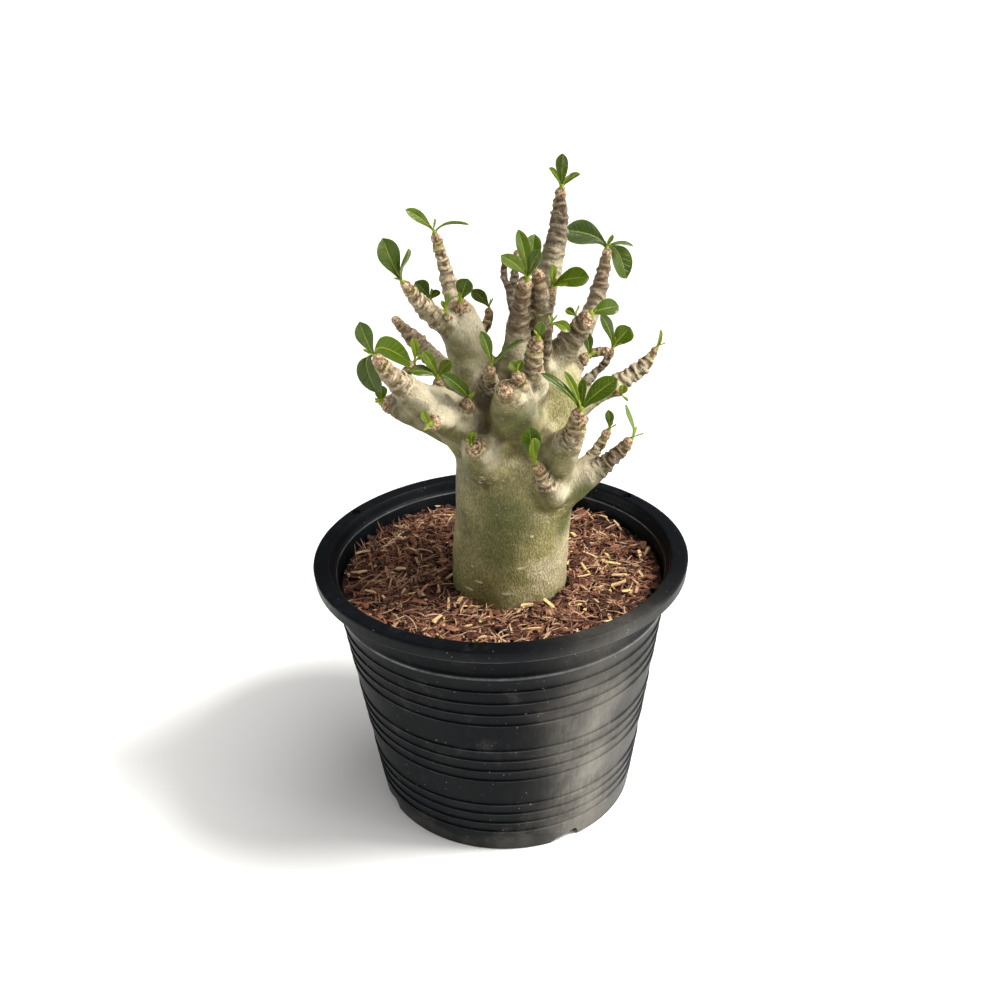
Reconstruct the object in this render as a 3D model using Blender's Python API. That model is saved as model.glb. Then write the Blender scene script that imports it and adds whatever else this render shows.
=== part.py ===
"""A potted desert rose: a black nursery pot, its husk fill, the bare-stemmed plant and its leaf tufts.

Run with: blender --background --python part.py

Metres, +Z up. The origin is on the floor, under the middle of the pot. Sizes and places below are in
millimetres, and MM turns them into metres where a mesh is made. Bearings are degrees from +X towards +Y,
and a rise is degrees above level.
"""

import math
import random
from typing import NamedTuple

import bmesh
import bpy
from mathutils import Matrix, Vector

MM = 0.001
GAP = 0.3  # between two solids that touch

# Pot
POT_SIDES = 36
RIM_RADIUS = 125.0
RIM_HEIGHT = 182.3
LIP_WIDTH = 11.2
SKIRT_DEPTH = 8.3
WALL = 1.9
FOOT_RADIUS = 90.0
WALL_SPREAD = 24.7 / 181.0  # how far the wall leans out for each millimetre of height
SHOULDER_HEIGHT = 154.0
FOOT_STEP_HEIGHT = 17.5
STEP_GROUPS = ((25.9, 3), (65.9, 4), (114.7, 4))  # lowest line of a group, lines in it
STEP_PITCH = 9.1
STEP_DEPTH = 0.9
FLOOR_HEIGHT = 9.0
NOTCH_WIDTH = 20.0
NOTCH_HEIGHT = 8.6
NOTCH_SLANT = 5.0
NOTCH_BEARINGS = (-65, 25, 115, 205)
HANGER_HOLE_RADIUS = 3.5
HANGER_HOLE_BEARINGS = (38, 150, 261)
DRAIN_HOLE_RADIUS = 6.0

# Fill
SOIL_LEVEL = 164.0
HOLE_FLOOR = 95.0
CHIP_COUNT = 68
CHIP_SPACING = 11.5

# Plant
TRUNK_CENTRE = (6.0, -9.0)
TRUNK_RADIUS = 38.0
TRUNK_SIDES = 20
TRUNK_STRAIGHT_TOP = 172.0
# Above that, the height, the middle's x and the radius.
TRUNK_LEAN = ((190, 7, 38), (210, 9, 37.5), (228, 10, 38), (244, 11, 37.5), (256, 12, 34), (264, 12, 26))
SCAR_PITCH = 6.6
SCAR_RELIEF = 0.55
SCARRED_BELOW_RADIUS = 8.5  # thicker wood has lost its ridges
PLAIN_PITCH = 11.0

# Leaf
BLADE_THICKNESS = 0.9
BLADE_OUTLINE = ((0.0, 0.16), (0.34, 0.42), (0.64, 0.95), (0.86, 0.86), (1.0, 0.1))
FOLD = math.tan(math.radians(14))


class Limb(NamedTuple):
    """One limb: (x, y, z, radius) from its root to its tip. Two limbs that touch are one wood."""

    route: tuple
    sides: int = 6
    domed: bool = False


class Leaf(NamedTuple):
    """One leaf, from its bud: where its tip lies, its width, and its turn about its own line."""

    bearing: float
    rise: float
    length: float
    width: float
    turn: float


# The trunk parts into a left, a middle and a right head, which carry the limbs.
LIMBS = {
    "head_left": Limb(((9, -10, 240, 33), (5, -10, 262, 28), (-3, -10, 284, 20)), 11, True),
    "head_middle": Limb(((13, -10, 245, 33), (15, -10, 271, 28), (17, -7, 298, 20)), 11, True),
    "head_right": Limb(((14, -10, 240, 33), (21, -10, 264, 28), (33, -5, 290, 23)), 11, True),
    "west_shoulder": Limb(((7, -7, 240, 31), (-7, -8, 262, 21), (-28, -10, 281, 14)), 10, True),
    # Left side
    "west_low": Limb(
        (
            (-11, -22, 278, 16), (-34, -34, 296, 12.5), (-50, -42, 310.5, 8.6), (-59.5, -48, 323, 5.2),
            (-67.5, -52, 336, 2.8),
        ),
        8,
    ),
    "west_under": Limb(
        ((-13, 6, 262, 15), (-36, 12, 271, 12.5), (-57, 16, 278, 9.5), (-72, 18, 281.5, 5.6)),
        8,
    ),
    "west_spur": Limb(((-52, -34, 310, 4.8), (-53, -30, 317, 3), (-48, -28, 324, 2.2))),
    "west_bare": Limb(
        (
            (0, 8, 277, 14), (-16, 18, 285, 10.5), (-35, 26, 302.5, 7.4), (-49, 32, 316, 5.4),
            (-63, 36, 331.5, 2.8),
        ),
        7, True,
    ),
    "left_arm": Limb(
        ((-5, -6, 289, 16.5), (-13, -6, 312, 14), (-18, -6, 333, 12.5), (-20, -5, 344, 10)),
        10, True,
    ),
    "left_fork": Limb(
        ((-19, -8, 336, 10), (-33, -14, 346, 7), (-43, -20, 358.5, 4.8), (-51.5, -26, 372, 2.7)),
        7,
    ),
    "left_fork_spur": Limb(((-33, -6, 344, 3.8), (-37, 2, 348, 3), (-38, 5, 351.8, 2.4))),
    "left_nub": Limb(((-26, -17, 344, 3), (-27.5, -20, 351, 2))),
    "left_stub": Limb(((-19, -10, 343, 6), (-19, -12, 355, 3.9))),
    "left_tall": Limb(
        ((-19, -2, 340, 8), (-24.3, 2, 355, 5.6), (-28.2, 6, 372, 4.4), (-33.3, 8, 392, 2.7)),
        7,
    ),
    "left_hook": Limb(((-12, 4, 327, 5), (-6.5, 8, 332, 3.4), (-2.8, 10, 338, 2.9), (-2.4, 10, 344, 2.3))),
    "left_front_twig": Limb(
        ((-5, -16, 303, 7), (-4, -31, 312, 5), (-3, -40, 320, 2.9), (-2, -42, 325, 2.4)),
    ),
    "trunk_bud": Limb(((-8, -38, 265, 13), (-11, -49, 276, 7), (-14, -53, 280, 3.5)), 8),
    "west_bud": Limb(((-32, -46, 294, 7.5), (-38, -56, 296, 3.5))),
    "west_stub": Limb(((-21, -34, 289, 7.8), (-16, -40, 303, 3.6))),
    "west_twig": Limb(((-34, -30, 299, 7), (-34, -30, 308, 3.9), (-34, -30, 314, 2.9))),
    # Middle
    "leader": Limb(
        (
            (22, 0, 307, 15), (25.5, 2, 332, 9), (30.7, 4, 352, 8.3), (37, 8, 377, 7.3),
            (40.9, 10, 396, 5.3), (42.7, 12, 415, 3.2),
        ),
        8,
    ),
    "middle": Limb(
        (
            (13, -12, 311, 13.5), (15, -14, 332, 7.2), (15.5, -16, 346, 5.8), (17.5, -20, 360, 4.5),
            (20, -24, 371, 3.5),
        ),
        7,
    ),
    "middle_back": Limb(((13, -13, 334, 5), (12, 6, 353, 3), (8, 12, 362, 2.4), (8, 14, 373, 2)), 6, True),
    "middle_back_bud": Limb(((12, 6, 350, 3.6), (14, 20, 360, 2.8), (16, 26, 374, 2.5)), 6, True),
    "leader_stub": Limb(((28, -6, 341, 7.2), (28, -16, 361, 4.6), (27, -20, 373, 3.6)), 6, True),
    "leader_twig": Limb(((29.5, -5, 335, 5), (32.5, -12, 350, 3.7), (35, -15, 363, 2.6))),
    "front_knob": Limb(((12, -32, 288, 17), (9, -54, 309, 10), (7, -60, 316, 5.7)), 8, True),
    "front_twig": Limb(((14, -48, 307, 8), (14, -58, 320, 4.6), (13, -60, 326, 3.2))),
    "front_middle": Limb(((21, -32, 309, 10.5), (22, -42, 326, 5.8), (25, -48, 342, 3.7))),
    # Right side
    "right_arm": Limb(((31, -8, 307, 13.5), (41, -10, 322, 9), (50, -12, 334, 7.2), (57, -14, 345, 5)), 7),
    "right_stub": Limb(((31, -18, 316, 5), (31.5, -23, 331, 3), (34, -25, 343.5, 2.2))),
    "right_nub": Limb(((51, -6, 334, 3.6), (50.5, 0, 340, 2))),
    "back_tall": Limb(
        (
            (38, 22, 288, 14), (50, 34, 306, 9), (61.2, 40, 326, 6.2), (68.7, 44, 345, 5),
            (72.2, 46, 360, 3.8), (73.6, 48, 370, 2.8),
        ),
        7,
    ),
    "back_short": Limb(((41, 12, 293, 12), (52, 18, 303, 6), (59, 20, 308, 3.3))),
    "back_thin": Limb(((45, 22, 279, 9.5), (62, 36, 288, 4), (72, 40, 295, 3.2), (77.5, 42, 305, 2.6))),
    "back_cross": Limb(((50, 27, 300, 4.4), (61, 35, 305, 3.3), (75, 41, 304.5, 2.8))),
    "east_long": Limb(
        (
            (38, 8, 270, 13.5), (58, 20, 278.5, 8.5), (76, 26, 285.5, 6.8), (94, 30, 295, 5.2),
            (105.5, 34, 307.5, 2.6),
        ),
        7,
    ),
    "east_nub": Limb(((78.5, 21, 284.5, 4.4), (80.5, 15, 284, 2.4))),
    "east_front": Limb(
        (
            (31, -34, 256, 15), (39, -48, 274, 10.7), (45, -56, 286, 7), (47.5, -60, 296, 5.8),
            (48.5, -61, 302, 4.8),
        ),
        7,
    ),
    "low_front": Limb(
        (
            (36, -24, 235, 14.5), (53, -28, 246, 10), (66, -28, 254, 6), (76, -28, 263, 4.2),
            (82.2, -28, 270, 3),
        ),
        7,
    ),
    "low_twig": Limb(((53, -25, 249, 7), (60.5, -20, 258, 4), (65.5, -18, 265, 3.1), (69.5, -17, 272, 2.7))),
    "low_bud": Limb(((33, -42, 240, 9), (28, -52, 255, 4.8), (23, -57, 269, 3.3))),
}

# The leaves at each shoot's tip, under the name of the limb that carries them.
TUFTS = {
    "west_low": (Leaf(-145, 70, 23, 10, -115), Leaf(52, -22, 32, 17, 58), Leaf(98, -66, 29, 13, -170)),
    "west_under": (Leaf(95, 75, 11, 8, 0),),
    "west_spur": (Leaf(95, 80, 14, 6, 30),),
    "left_fork": (Leaf(-168, 70, 27, 13, -85), Leaf(-25, 71, 20, 13, -165)),
    "left_fork_spur": (Leaf(165, 52, 14, 10, -50), Leaf(20, 35, 8, 5, 40)),
    "left_nub": (Leaf(0, 80, 11, 4, 145),),
    "left_stub": (Leaf(15, 70, 14, 11, 55),),
    "left_tall": (Leaf(-165, 42, 22, 7, -65), Leaf(20, 7, 22, 5, -25)),
    "left_hook": (Leaf(-170, 50, 16, 8, -95),),
    "left_front_twig": (Leaf(-160, 75, 22, 7, -85), Leaf(10, 35, 24, 9, -5)),
    "trunk_bud": (Leaf(-75, 75, 11, 6, 165),),
    "west_bud": (Leaf(-150, 65, 10, 5, -105),),
    "west_stub": (Leaf(-165, 50, 24, 8, -60), Leaf(160, 60, 14, 6, -50)),
    "west_twig": (Leaf(180, 65, 19, 7, -55), Leaf(-165, 20, 18, 8, -40), Leaf(-15, 50, 14, 8, 65)),
    "leader": (Leaf(75, 85, 19, 8, -10), Leaf(-150, 55, 15, 5, -55), Leaf(25, 30, 14, 6, 15)),
    "middle": (
        Leaf(-165, 44, 21, 8, -85), Leaf(150, 80, 28, 8, -45), Leaf(-20, 65, 19, 8, 75),
        Leaf(65, 60, 26, 10, 20),
    ),
    "leader_twig": (Leaf(-80, 80, 14, 6, -145), Leaf(-15, 16, 23, 13, 50), Leaf(-35, 15, 11, 6, 25)),
    "front_twig": (Leaf(-150, 60, 9, 5, -105), Leaf(20, 70, 8, 5, 60)),
    "front_middle": (Leaf(-45, 75, 11, 6, 125),),
    "right_arm": (Leaf(15, 10, 19, 11, 50),),
    "right_stub": (Leaf(-25, -15, 12, 7, 35),),
    "right_nub": (Leaf(150, 30, 8, 5, -55),),
    "back_tall": (
        Leaf(-172, 24, 31, 16, -70), Leaf(0, 65, 9, 4, 125), Leaf(15, 0, 18, 6, 10),
        Leaf(0, -57, 24, 14, 70),
    ),
    "back_short": (Leaf(150, 80, 17, 7, -60),),
    "back_thin": (Leaf(-160, 70, 26, 8, -75), Leaf(20, 45, 18, 13, 60)),
    "east_long": (Leaf(0, 80, 12, 4, 135),),
    "east_nub": (Leaf(-60, 70, 8, 6, 145),),
    "east_front": (
        Leaf(170, 45, 32, 6, -30), Leaf(145, 65, 25, 5, -25), Leaf(75, 65, 19, 6, -25),
        Leaf(10, 40, 28, 12, 50),
    ),
    "low_front": (Leaf(-140, 75, 25, 7, 155),),
    "low_twig": (Leaf(180, 88, 13, 9, -90),),
    "low_bud": (Leaf(-155, 80, 24, 12, -110), Leaf(-100, 65, 21, 8, -135)),
}


def new_material(name, colour, roughness, metallic=0.0):
    """A Principled material."""
    material = bpy.data.materials.new(name)
    material.use_nodes = True
    shader = material.node_tree.nodes["Principled BSDF"]
    shader.inputs["Base Color"].default_value = (*colour, 1)
    shader.inputs["Roughness"].default_value = roughness
    shader.inputs["Metallic"].default_value = metallic
    return material


def new_object(name, bm, material):
    """Turns a bmesh in millimetres into an object in metres, shaded smooth across soft edges."""
    bmesh.ops.recalc_face_normals(bm, faces=bm.faces)
    bm.transform(Matrix.Scale(MM, 4))
    mesh = bpy.data.meshes.new(name)
    bm.to_mesh(mesh)
    bm.free()
    mesh.materials.append(material)
    mesh.shade_smooth()
    mesh.set_sharp_from_angle(angle=math.radians(40))
    thing = bpy.data.objects.new(name, mesh)
    bpy.context.scene.collection.objects.link(thing)
    return thing


def skinned(rings):
    """A bmesh through rings of as many points each, with a flat face on each end."""
    bm = bmesh.new()
    loops = [[bm.verts.new(point) for point in ring] for ring in rings]
    for low, high in zip(loops, loops[1:]):
        for i, corner in enumerate(low):
            following = (i + 1) % len(low)
            bm.faces.new((corner, low[following], high[following], high[i]))
    bm.faces.new(loops[0])
    bm.faces.new(loops[-1])
    return bm


def turned(profile, sides):
    """A bmesh of the (radius, height) profile spun about Z. A profile may start and end on the axis."""
    bm = bmesh.new()
    points = [bm.verts.new((radius, 0, height)) for radius, height in profile]
    edges = [bm.edges.new(pair) for pair in zip(points, points[1:])]
    bmesh.ops.spin(
        bm,
        geom=points + edges,
        axis=(0, 0, 1),
        cent=(0, 0, 0),
        angle=math.tau,
        steps=sides,
        use_merge=True,
    )
    bmesh.ops.remove_doubles(bm, verts=bm.verts, dist=1e-4)
    return bm


def with_boolean(thing, others, operation, solver="EXACT"):
    """Applies one Boolean of the others to the thing, then removes them."""
    group = bpy.data.collections.new(thing.name + "_others")
    for other in others:
        group.objects.link(other)
    boolean = thing.modifiers.new(operation, "BOOLEAN")
    boolean.operation = operation
    boolean.operand_type = "COLLECTION"
    boolean.collection = group
    boolean.solver = solver
    graph = bpy.context.evaluated_depsgraph_get()
    mesh = bpy.data.meshes.new_from_object(thing.evaluated_get(graph))
    thing.modifiers.remove(boolean)
    for other in others:
        bpy.data.objects.remove(other)
    bpy.data.collections.remove(group)
    worn_out = thing.data
    thing.data = mesh
    bpy.data.meshes.remove(worn_out)
    return thing


def without_scraps(thing):
    """Keeps only the largest shell, so no sealed hollow or loose crumb that a union left."""
    bm = bmesh.new()
    bm.from_mesh(thing.data)
    unseen, shells = set(bm.faces), []
    while unseen:
        front = [unseen.pop()]
        shell = list(front)
        while front:
            touching = {other for edge in front.pop().edges for other in edge.link_faces} & unseen
            unseen -= touching
            front += touching
            shell += touching
        shells.append(shell)
    shells.sort(key=len)
    bmesh.ops.delete(bm, geom=[face for shell in shells[:-1] for face in shell], context="FACES")
    bm.to_mesh(thing.data)
    bm.free()
    return thing


def around(bearing, radius, height):
    """The point at a bearing and a radius from the pot's axis."""
    angle = math.radians(bearing)
    return Vector((radius * math.cos(angle), radius * math.sin(angle), height))


def wall_radius(height):
    """The pot wall's outer radius."""
    return FOOT_RADIUS + WALL_SPREAD * height


# Pot


def stepped_wall():
    """The wall's outer profile up to the shoulder: at each line the band above stands back."""
    profile = [(wall_radius(0) - 0.4, 0), (wall_radius(FOOT_STEP_HEIGHT), FOOT_STEP_HEIGHT - 0.5)]
    profile.append((wall_radius(FOOT_STEP_HEIGHT) - STEP_DEPTH, FOOT_STEP_HEIGHT))
    for lowest, count in STEP_GROUPS:
        for line in range(count):
            height = lowest + line * STEP_PITCH
            profile.append((wall_radius(height), height - 0.5))
            profile.append((wall_radius(height) - STEP_DEPTH, height))
    return profile


def make_pot(material):
    """The thin moulded pot, with its turned-down rim, its foot ring and its holes."""
    lip_inside = RIM_RADIUS - LIP_WIDTH
    under_lip = RIM_HEIGHT - WALL
    shoulder = wall_radius(SHOULDER_HEIGHT)
    profile = [(0, FLOOR_HEIGHT), (FOOT_RADIUS - 4.4, FLOOR_HEIGHT), (FOOT_RADIUS - 3.6, 0)]
    profile += stepped_wall()
    profile += [
        (shoulder, SHOULDER_HEIGHT - 2),
        (shoulder + 0.5, SHOULDER_HEIGHT),
        (shoulder - 0.6, SHOULDER_HEIGHT + 2.5),
        (wall_radius(168), 168),
        (lip_inside + WALL + 1, under_lip),
        (RIM_RADIUS - WALL - 0.4, under_lip),
        (RIM_RADIUS - WALL - 0.9, RIM_HEIGHT - SKIRT_DEPTH),
        (RIM_RADIUS - 0.7, RIM_HEIGHT - SKIRT_DEPTH),
        (RIM_RADIUS, RIM_HEIGHT - 0.9),
        (RIM_RADIUS - 0.8, RIM_HEIGHT),
        (lip_inside, RIM_HEIGHT),
        (lip_inside - 1.9, RIM_HEIGHT - 7),
        (wall_radius(SHOULDER_HEIGHT) - WALL - 0.9, SHOULDER_HEIGHT - 2),
        (inner_radius(FLOOR_HEIGHT + WALL), FLOOR_HEIGHT + WALL),
        (0, FLOOR_HEIGHT + WALL),
    ]
    pot = new_object("pot", turned(profile, POT_SIDES), material)
    return with_boolean(pot, pot_cutters(material), "DIFFERENCE")


def inner_radius(height):
    """The pot's inside radius below the shoulder."""
    return wall_radius(height) - WALL - STEP_DEPTH - 0.3


def pot_cutters(material):
    """The cutters of the foot's notches, the drain holes beside them and the rim's hanger holes."""
    cutters = []
    for bearing in NOTCH_BEARINGS:
        half, top, slant = NOTCH_WIDTH / 2, NOTCH_HEIGHT, NOTCH_SLANT
        arch = [(-half, -1), (half, -1), (half, top - slant)]
        arch += [(half - slant, top), (slant - half, top), (-half, top - slant)]
        rings = [[Vector((depth, y, z)) for y, z in arch] for depth in (FOOT_RADIUS - 9, FOOT_RADIUS + 5)]
        bm = skinned(rings)
        bm.transform(Matrix.Rotation(math.radians(bearing), 4, "Z"))
        cutters.append(new_object("notch_cutter", bm, material))
        drain = around(bearing + 45, FOOT_RADIUS - 20, FLOOR_HEIGHT + 1)
        cutters.append(drill(drain, DRAIN_HOLE_RADIUS, material))
    for bearing in HANGER_HOLE_BEARINGS:
        middle = around(bearing, RIM_RADIUS - LIP_WIDTH / 2 + 0.3, RIM_HEIGHT - 1)
        cutters.append(drill(middle, HANGER_HOLE_RADIUS, material))
    return cutters


def drill(middle, radius, material):
    """An upright cutter for a round hole."""
    bm = bmesh.new()
    bmesh.ops.create_cone(
        bm,
        cap_ends=True,
        segments=8,
        radius1=radius,
        radius2=radius,
        depth=6,
        matrix=Matrix.Translation(middle),
    )
    return new_object("drill", bm, material)


# Fill


def make_soil(material):
    """The husk: a plug that fills the pot, with the trunk's hole and with chips fused to its uneven top."""
    draw = random.Random(11)
    clear = GAP / math.cos(math.pi / POT_SIDES)
    floor = FLOOR_HEIGHT + WALL + GAP
    rings = []
    for height in (floor, SOIL_LEVEL - 14):
        radius = inner_radius(height) - clear
        rings.append([around(360 * i / POT_SIDES, radius, height) for i in range(POT_SIDES)])
    edge = inner_radius(SOIL_LEVEL) - clear - 0.2
    for share, sink in ((1.0, 0.5), (0.84, 0), (0.68, 0.4), (0.52, 0.2)):
        ring = []
        for i in range(POT_SIDES):
            height = SOIL_LEVEL - sink + draw.uniform(-1.3, 1.3)
            shift = draw.uniform(-0.2, 0.2) if share < 1 else 0
            ring.append(around(360 * (i + shift) / POT_SIDES, edge * share, height))
        rings.append(ring)
    soil = new_object("soil", skinned(rings), material)
    chips = [make_chip(draw, spot, material) for spot in chip_spots(draw, edge)]
    soil = without_scraps(with_boolean(soil, chips, "UNION", "MANIFOLD"))
    hole = [
        trunk_ring(HOLE_FLOOR - GAP, TRUNK_RADIUS + GAP + 0.2),
        trunk_ring(SOIL_LEVEL + 20, TRUNK_RADIUS + GAP + 0.2),
    ]
    return with_boolean(soil, [new_object("trunk_hole", skinned(hole), material)], "DIFFERENCE", "MANIFOLD")


def make_chip(draw, spot, material):
    """One splinter of husk, three-sided, lying at a slant with its lower side in the fill."""
    length, width, height = draw.choice(((22, 5, 3.5), (17, 8, 3), (13, 11, 3.4), (25, 4.4, 4)))
    ends = []
    for end in (-1, 1):
        across, lift = draw.uniform(-1.2, 1.2), draw.uniform(0.5, 1) * height
        corners = ((-width / 2, -height), (width / 2, -height), (across, lift))
        ends.append([Vector((end * (length / 2 + draw.uniform(-2, 2)), y, z)) for y, z in corners])
    bm = skinned(ends)
    tilt = Matrix.Rotation(math.radians(draw.uniform(-9, 9)), 4, "Y")
    spin = Matrix.Rotation(draw.uniform(0, math.tau), 4, "Z")
    bm.transform(Matrix.Translation(spot) @ spin @ tilt)
    return new_object("chip", bm, material)


def chip_spots(draw, edge):
    """Places for the chips all over the fill, clear of the wall, of the trunk and of each other."""
    spots = []
    while len(spots) < CHIP_COUNT:
        height = SOIL_LEVEL + draw.uniform(-0.4, 0.8)
        spot = around(draw.uniform(0, 360), edge * math.sqrt(draw.random()), height)
        to_trunk = math.dist(spot.xy, TRUNK_CENTRE) - TRUNK_RADIUS
        apart = min(((spot - other).length for other in spots), default=CHIP_SPACING)
        if spot.xy.length < edge - 13 and to_trunk > 15 and apart >= CHIP_SPACING:
            spots.append(spot)
    return spots


# Plant


def trunk_ring(height, radius, centre=TRUNK_CENTRE):
    """A level ring round the trunk's line."""
    return [
        Vector((centre[0], centre[1], 0)) + around(360 * i / TRUNK_SIDES, radius, height)
        for i in range(TRUNK_SIDES)
    ]


def make_trunk(material):
    """The caudex: a straight foot in the fill, then a slight lean to where it parts into its heads."""
    rings = [trunk_ring(HOLE_FLOOR, TRUNK_RADIUS - 3), trunk_ring(HOLE_FLOOR + 5, TRUNK_RADIUS)]
    rings.append(trunk_ring(TRUNK_STRAIGHT_TOP, TRUNK_RADIUS))
    for height, x, radius in TRUNK_LEAN:
        rings.append(trunk_ring(height, radius, (x, TRUNK_CENTRE[1])))
    return new_object("trunk", skinned(rings), material)


def smooth_route(route, steps=8):
    """Points every few millimetres along a smooth curve through the route's (x, y, z, radius) points."""
    knots = [Vector(point[:3]).to_4d() for point in route]
    for knot, point in zip(knots, route):
        knot.w = point[3]
    knots = [2 * knots[0] - knots[1], *knots, 2 * knots[-1] - knots[-2]]
    fine = []
    for before, start, end, after in zip(knots, knots[1:], knots[2:], knots[3:]):
        for step in range(steps):
            t = step / steps
            fine.append(
                0.5
                * (
                    2 * start
                    + (end - before) * t
                    + (2 * before - 5 * start + 4 * end - after) * t**2
                    + (3 * start - before - 3 * end + after) * t**3
                )
            )
    return fine + [knots[-2]]


def along(fine, distance):
    """The point and the radius at a distance back from the tip."""
    for end, start in zip(reversed(fine), reversed(fine[:-1])):
        step = (end.xyz - start.xyz).length
        if distance <= step:
            return start.lerp(end, 1 - distance / step)
        distance -= step
    return fine[0]


def scar_stations(fine):
    """(distance back from the tip, relief) of each ring: a crest and a furrow for each leaf scar."""
    whole = sum((b.xyz - a.xyz).length for a, b in zip(fine, fine[1:]))
    stations = [(0.0, 0.0)]
    distance = 1.6
    while distance < whole - 1:
        if along(fine, distance).w < SCARRED_BELOW_RADIUS and distance + 0.5 * SCAR_PITCH < whole - 1:
            stations += [(distance, SCAR_RELIEF), (distance + 0.45 * SCAR_PITCH, -SCAR_RELIEF / 2)]
            distance += SCAR_PITCH
        else:
            stations.append((distance, 0.0))
            distance += PLAIN_PITCH
    return stations + [(whole, 0.0)]


def crosswise(direction, last_side):
    """A side vector square to the direction and near the last one, so that a tube doesn't twist."""
    return (last_side - direction * last_side.dot(direction)).normalized()


def make_limb(name, limb, material):
    """A tapering limb with ringed scars, capped flat where a tuft sits on it and domed where it is bare."""
    fine = smooth_route(limb.route)
    stations = scar_stations(fine)
    ends = [(along(fine, distance), relief) for distance, relief in stations]
    rings, side = [], Vector((0.31, 0.95, 0.05))
    for i, (point, relief) in enumerate(ends):
        ahead, behind = ends[max(i - 1, 0)][0].xyz, ends[min(i + 1, len(ends) - 1)][0].xyz
        direction = (ahead - behind).normalized()
        side = crosswise(direction, side)
        across = direction.cross(side)
        rings.append(circle(point.xyz, side, across, point.w + relief, limb.sides))
        if i == 0 and limb.domed:
            for bulge, shrink in ((0.45, 0.86), (0.8, 0.5)):
                tip = point.xyz + direction * point.w * bulge
                rings.insert(0, circle(tip, side, across, point.w * shrink, limb.sides))
    return new_object(name, skinned(rings), material)


def circle(middle, side, across, radius, sides):
    """A ring of points about a middle."""
    angles = [math.tau * i / sides for i in range(sides)]
    return [middle + radius * (math.cos(angle) * side + math.sin(angle) * across) for angle in angles]


def make_plant(material):
    """The trunk and all its limbs as one wood."""
    limbs = [make_limb(name, limb, material) for name, limb in LIMBS.items()]
    plant = with_boolean(make_trunk(material), limbs, "UNION", "MANIFOLD")
    plant.name = plant.data.name = "adenium"
    return plant


# Leaves


def shoot_end(limb):
    """Where a limb ends, which way it points, and how thick it is there."""
    fine = smooth_route(limb.route)
    tip, before = fine[-1], along(fine, 1.6)
    return tip.xyz, (tip.xyz - before.xyz).normalized(), tip.w


def make_bud(name, tip, direction, radius, material):
    """The soft end of a shoot, which its leaves grow from."""
    side = crosswise(direction, Vector((0.31, 0.95, 0.05)))
    across = direction.cross(side)
    rings = []
    for height, share in ((GAP, 0.9), (3.8, 0.5)):
        rings.append(circle(tip + direction * height, side, across, radius * share, 5))
    return new_object(name, skinned(rings), material)


def make_leaf(leaf, tip, direction, material):
    """A folded, arching blade that leaves the bud along the shoot and bends over to its own bearing."""
    reach = around(leaf.bearing, math.cos(math.radians(leaf.rise)), math.sin(math.radians(leaf.rise)))
    upper = around(leaf.bearing, -math.sin(math.radians(leaf.rise)), math.cos(math.radians(leaf.rise)))
    upper = Matrix.Rotation(math.radians(leaf.turn), 3, reach) @ upper
    start = tip + direction * 2.4
    bend = start + (reach + 1.2 * direction).normalized() * leaf.length * 0.38
    end = start + reach * leaf.length
    lateral = reach.cross(upper)
    rings = []
    for share, outline in BLADE_OUTLINE:
        middle = (1 - share) ** 2 * start + 2 * share * (1 - share) * bend + share**2 * end
        forward = ((1 - share) * (bend - start) + share * (end - bend)).normalized()
        face = lateral.cross(forward).normalized()
        half = outline * leaf.width / 2
        edge = face * half * FOLD
        top = [middle - lateral * half + edge, middle, middle + lateral * half + edge]
        rings.append(top + [point - face * BLADE_THICKNESS for point in reversed(top)])
    return new_object("leaf", skinned(rings), material)


def make_tuft(name, leaves, material):
    """All the leaves at one shoot tip, fused to their bud."""
    tip, direction, radius = shoot_end(LIMBS[name])
    bud = make_bud("tuft_" + name, tip, direction, radius, material)
    blades = [make_leaf(leaf, tip, direction, material) for leaf in leaves]
    return with_boolean(bud, blades, "UNION", "MANIFOLD")


def main():
    """Clears the scene and makes the pot, the fill, the plant and its tufts."""
    for thing in list(bpy.data.objects):
        bpy.data.objects.remove(thing)
    make_pot(new_material("black_plastic", (0.014, 0.014, 0.015), 0.42))
    make_soil(new_material("coconut_husk", (0.2, 0.085, 0.045), 0.9))
    make_plant(new_material("adenium_bark", (0.33, 0.32, 0.2), 0.6))
    leaf_green = new_material("leaf_green", (0.09, 0.22, 0.02), 0.35)
    for name, leaves in TUFTS.items():
        make_tuft(name, leaves, leaf_green)


main()
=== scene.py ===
"""The looks of a potted desert rose: its nursery pot, its husk fill, its wood and its leaf tufts.

Sizes and places below are in millimetres, with +Z up and the origin on the floor under the pot's middle,
and MM turns them into metres where a mesh, a lamp or the camera is made. Bearings are degrees from +X
towards +Y, and a rise is degrees above level. Every random draw is seeded.
"""

from __future__ import annotations

import logging
import math
import random
from dataclasses import dataclass, field
from enum import Enum
from typing import NamedTuple, Sequence, Union

import bpy
import numpy as np
from mathutils import Matrix, Vector


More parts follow.
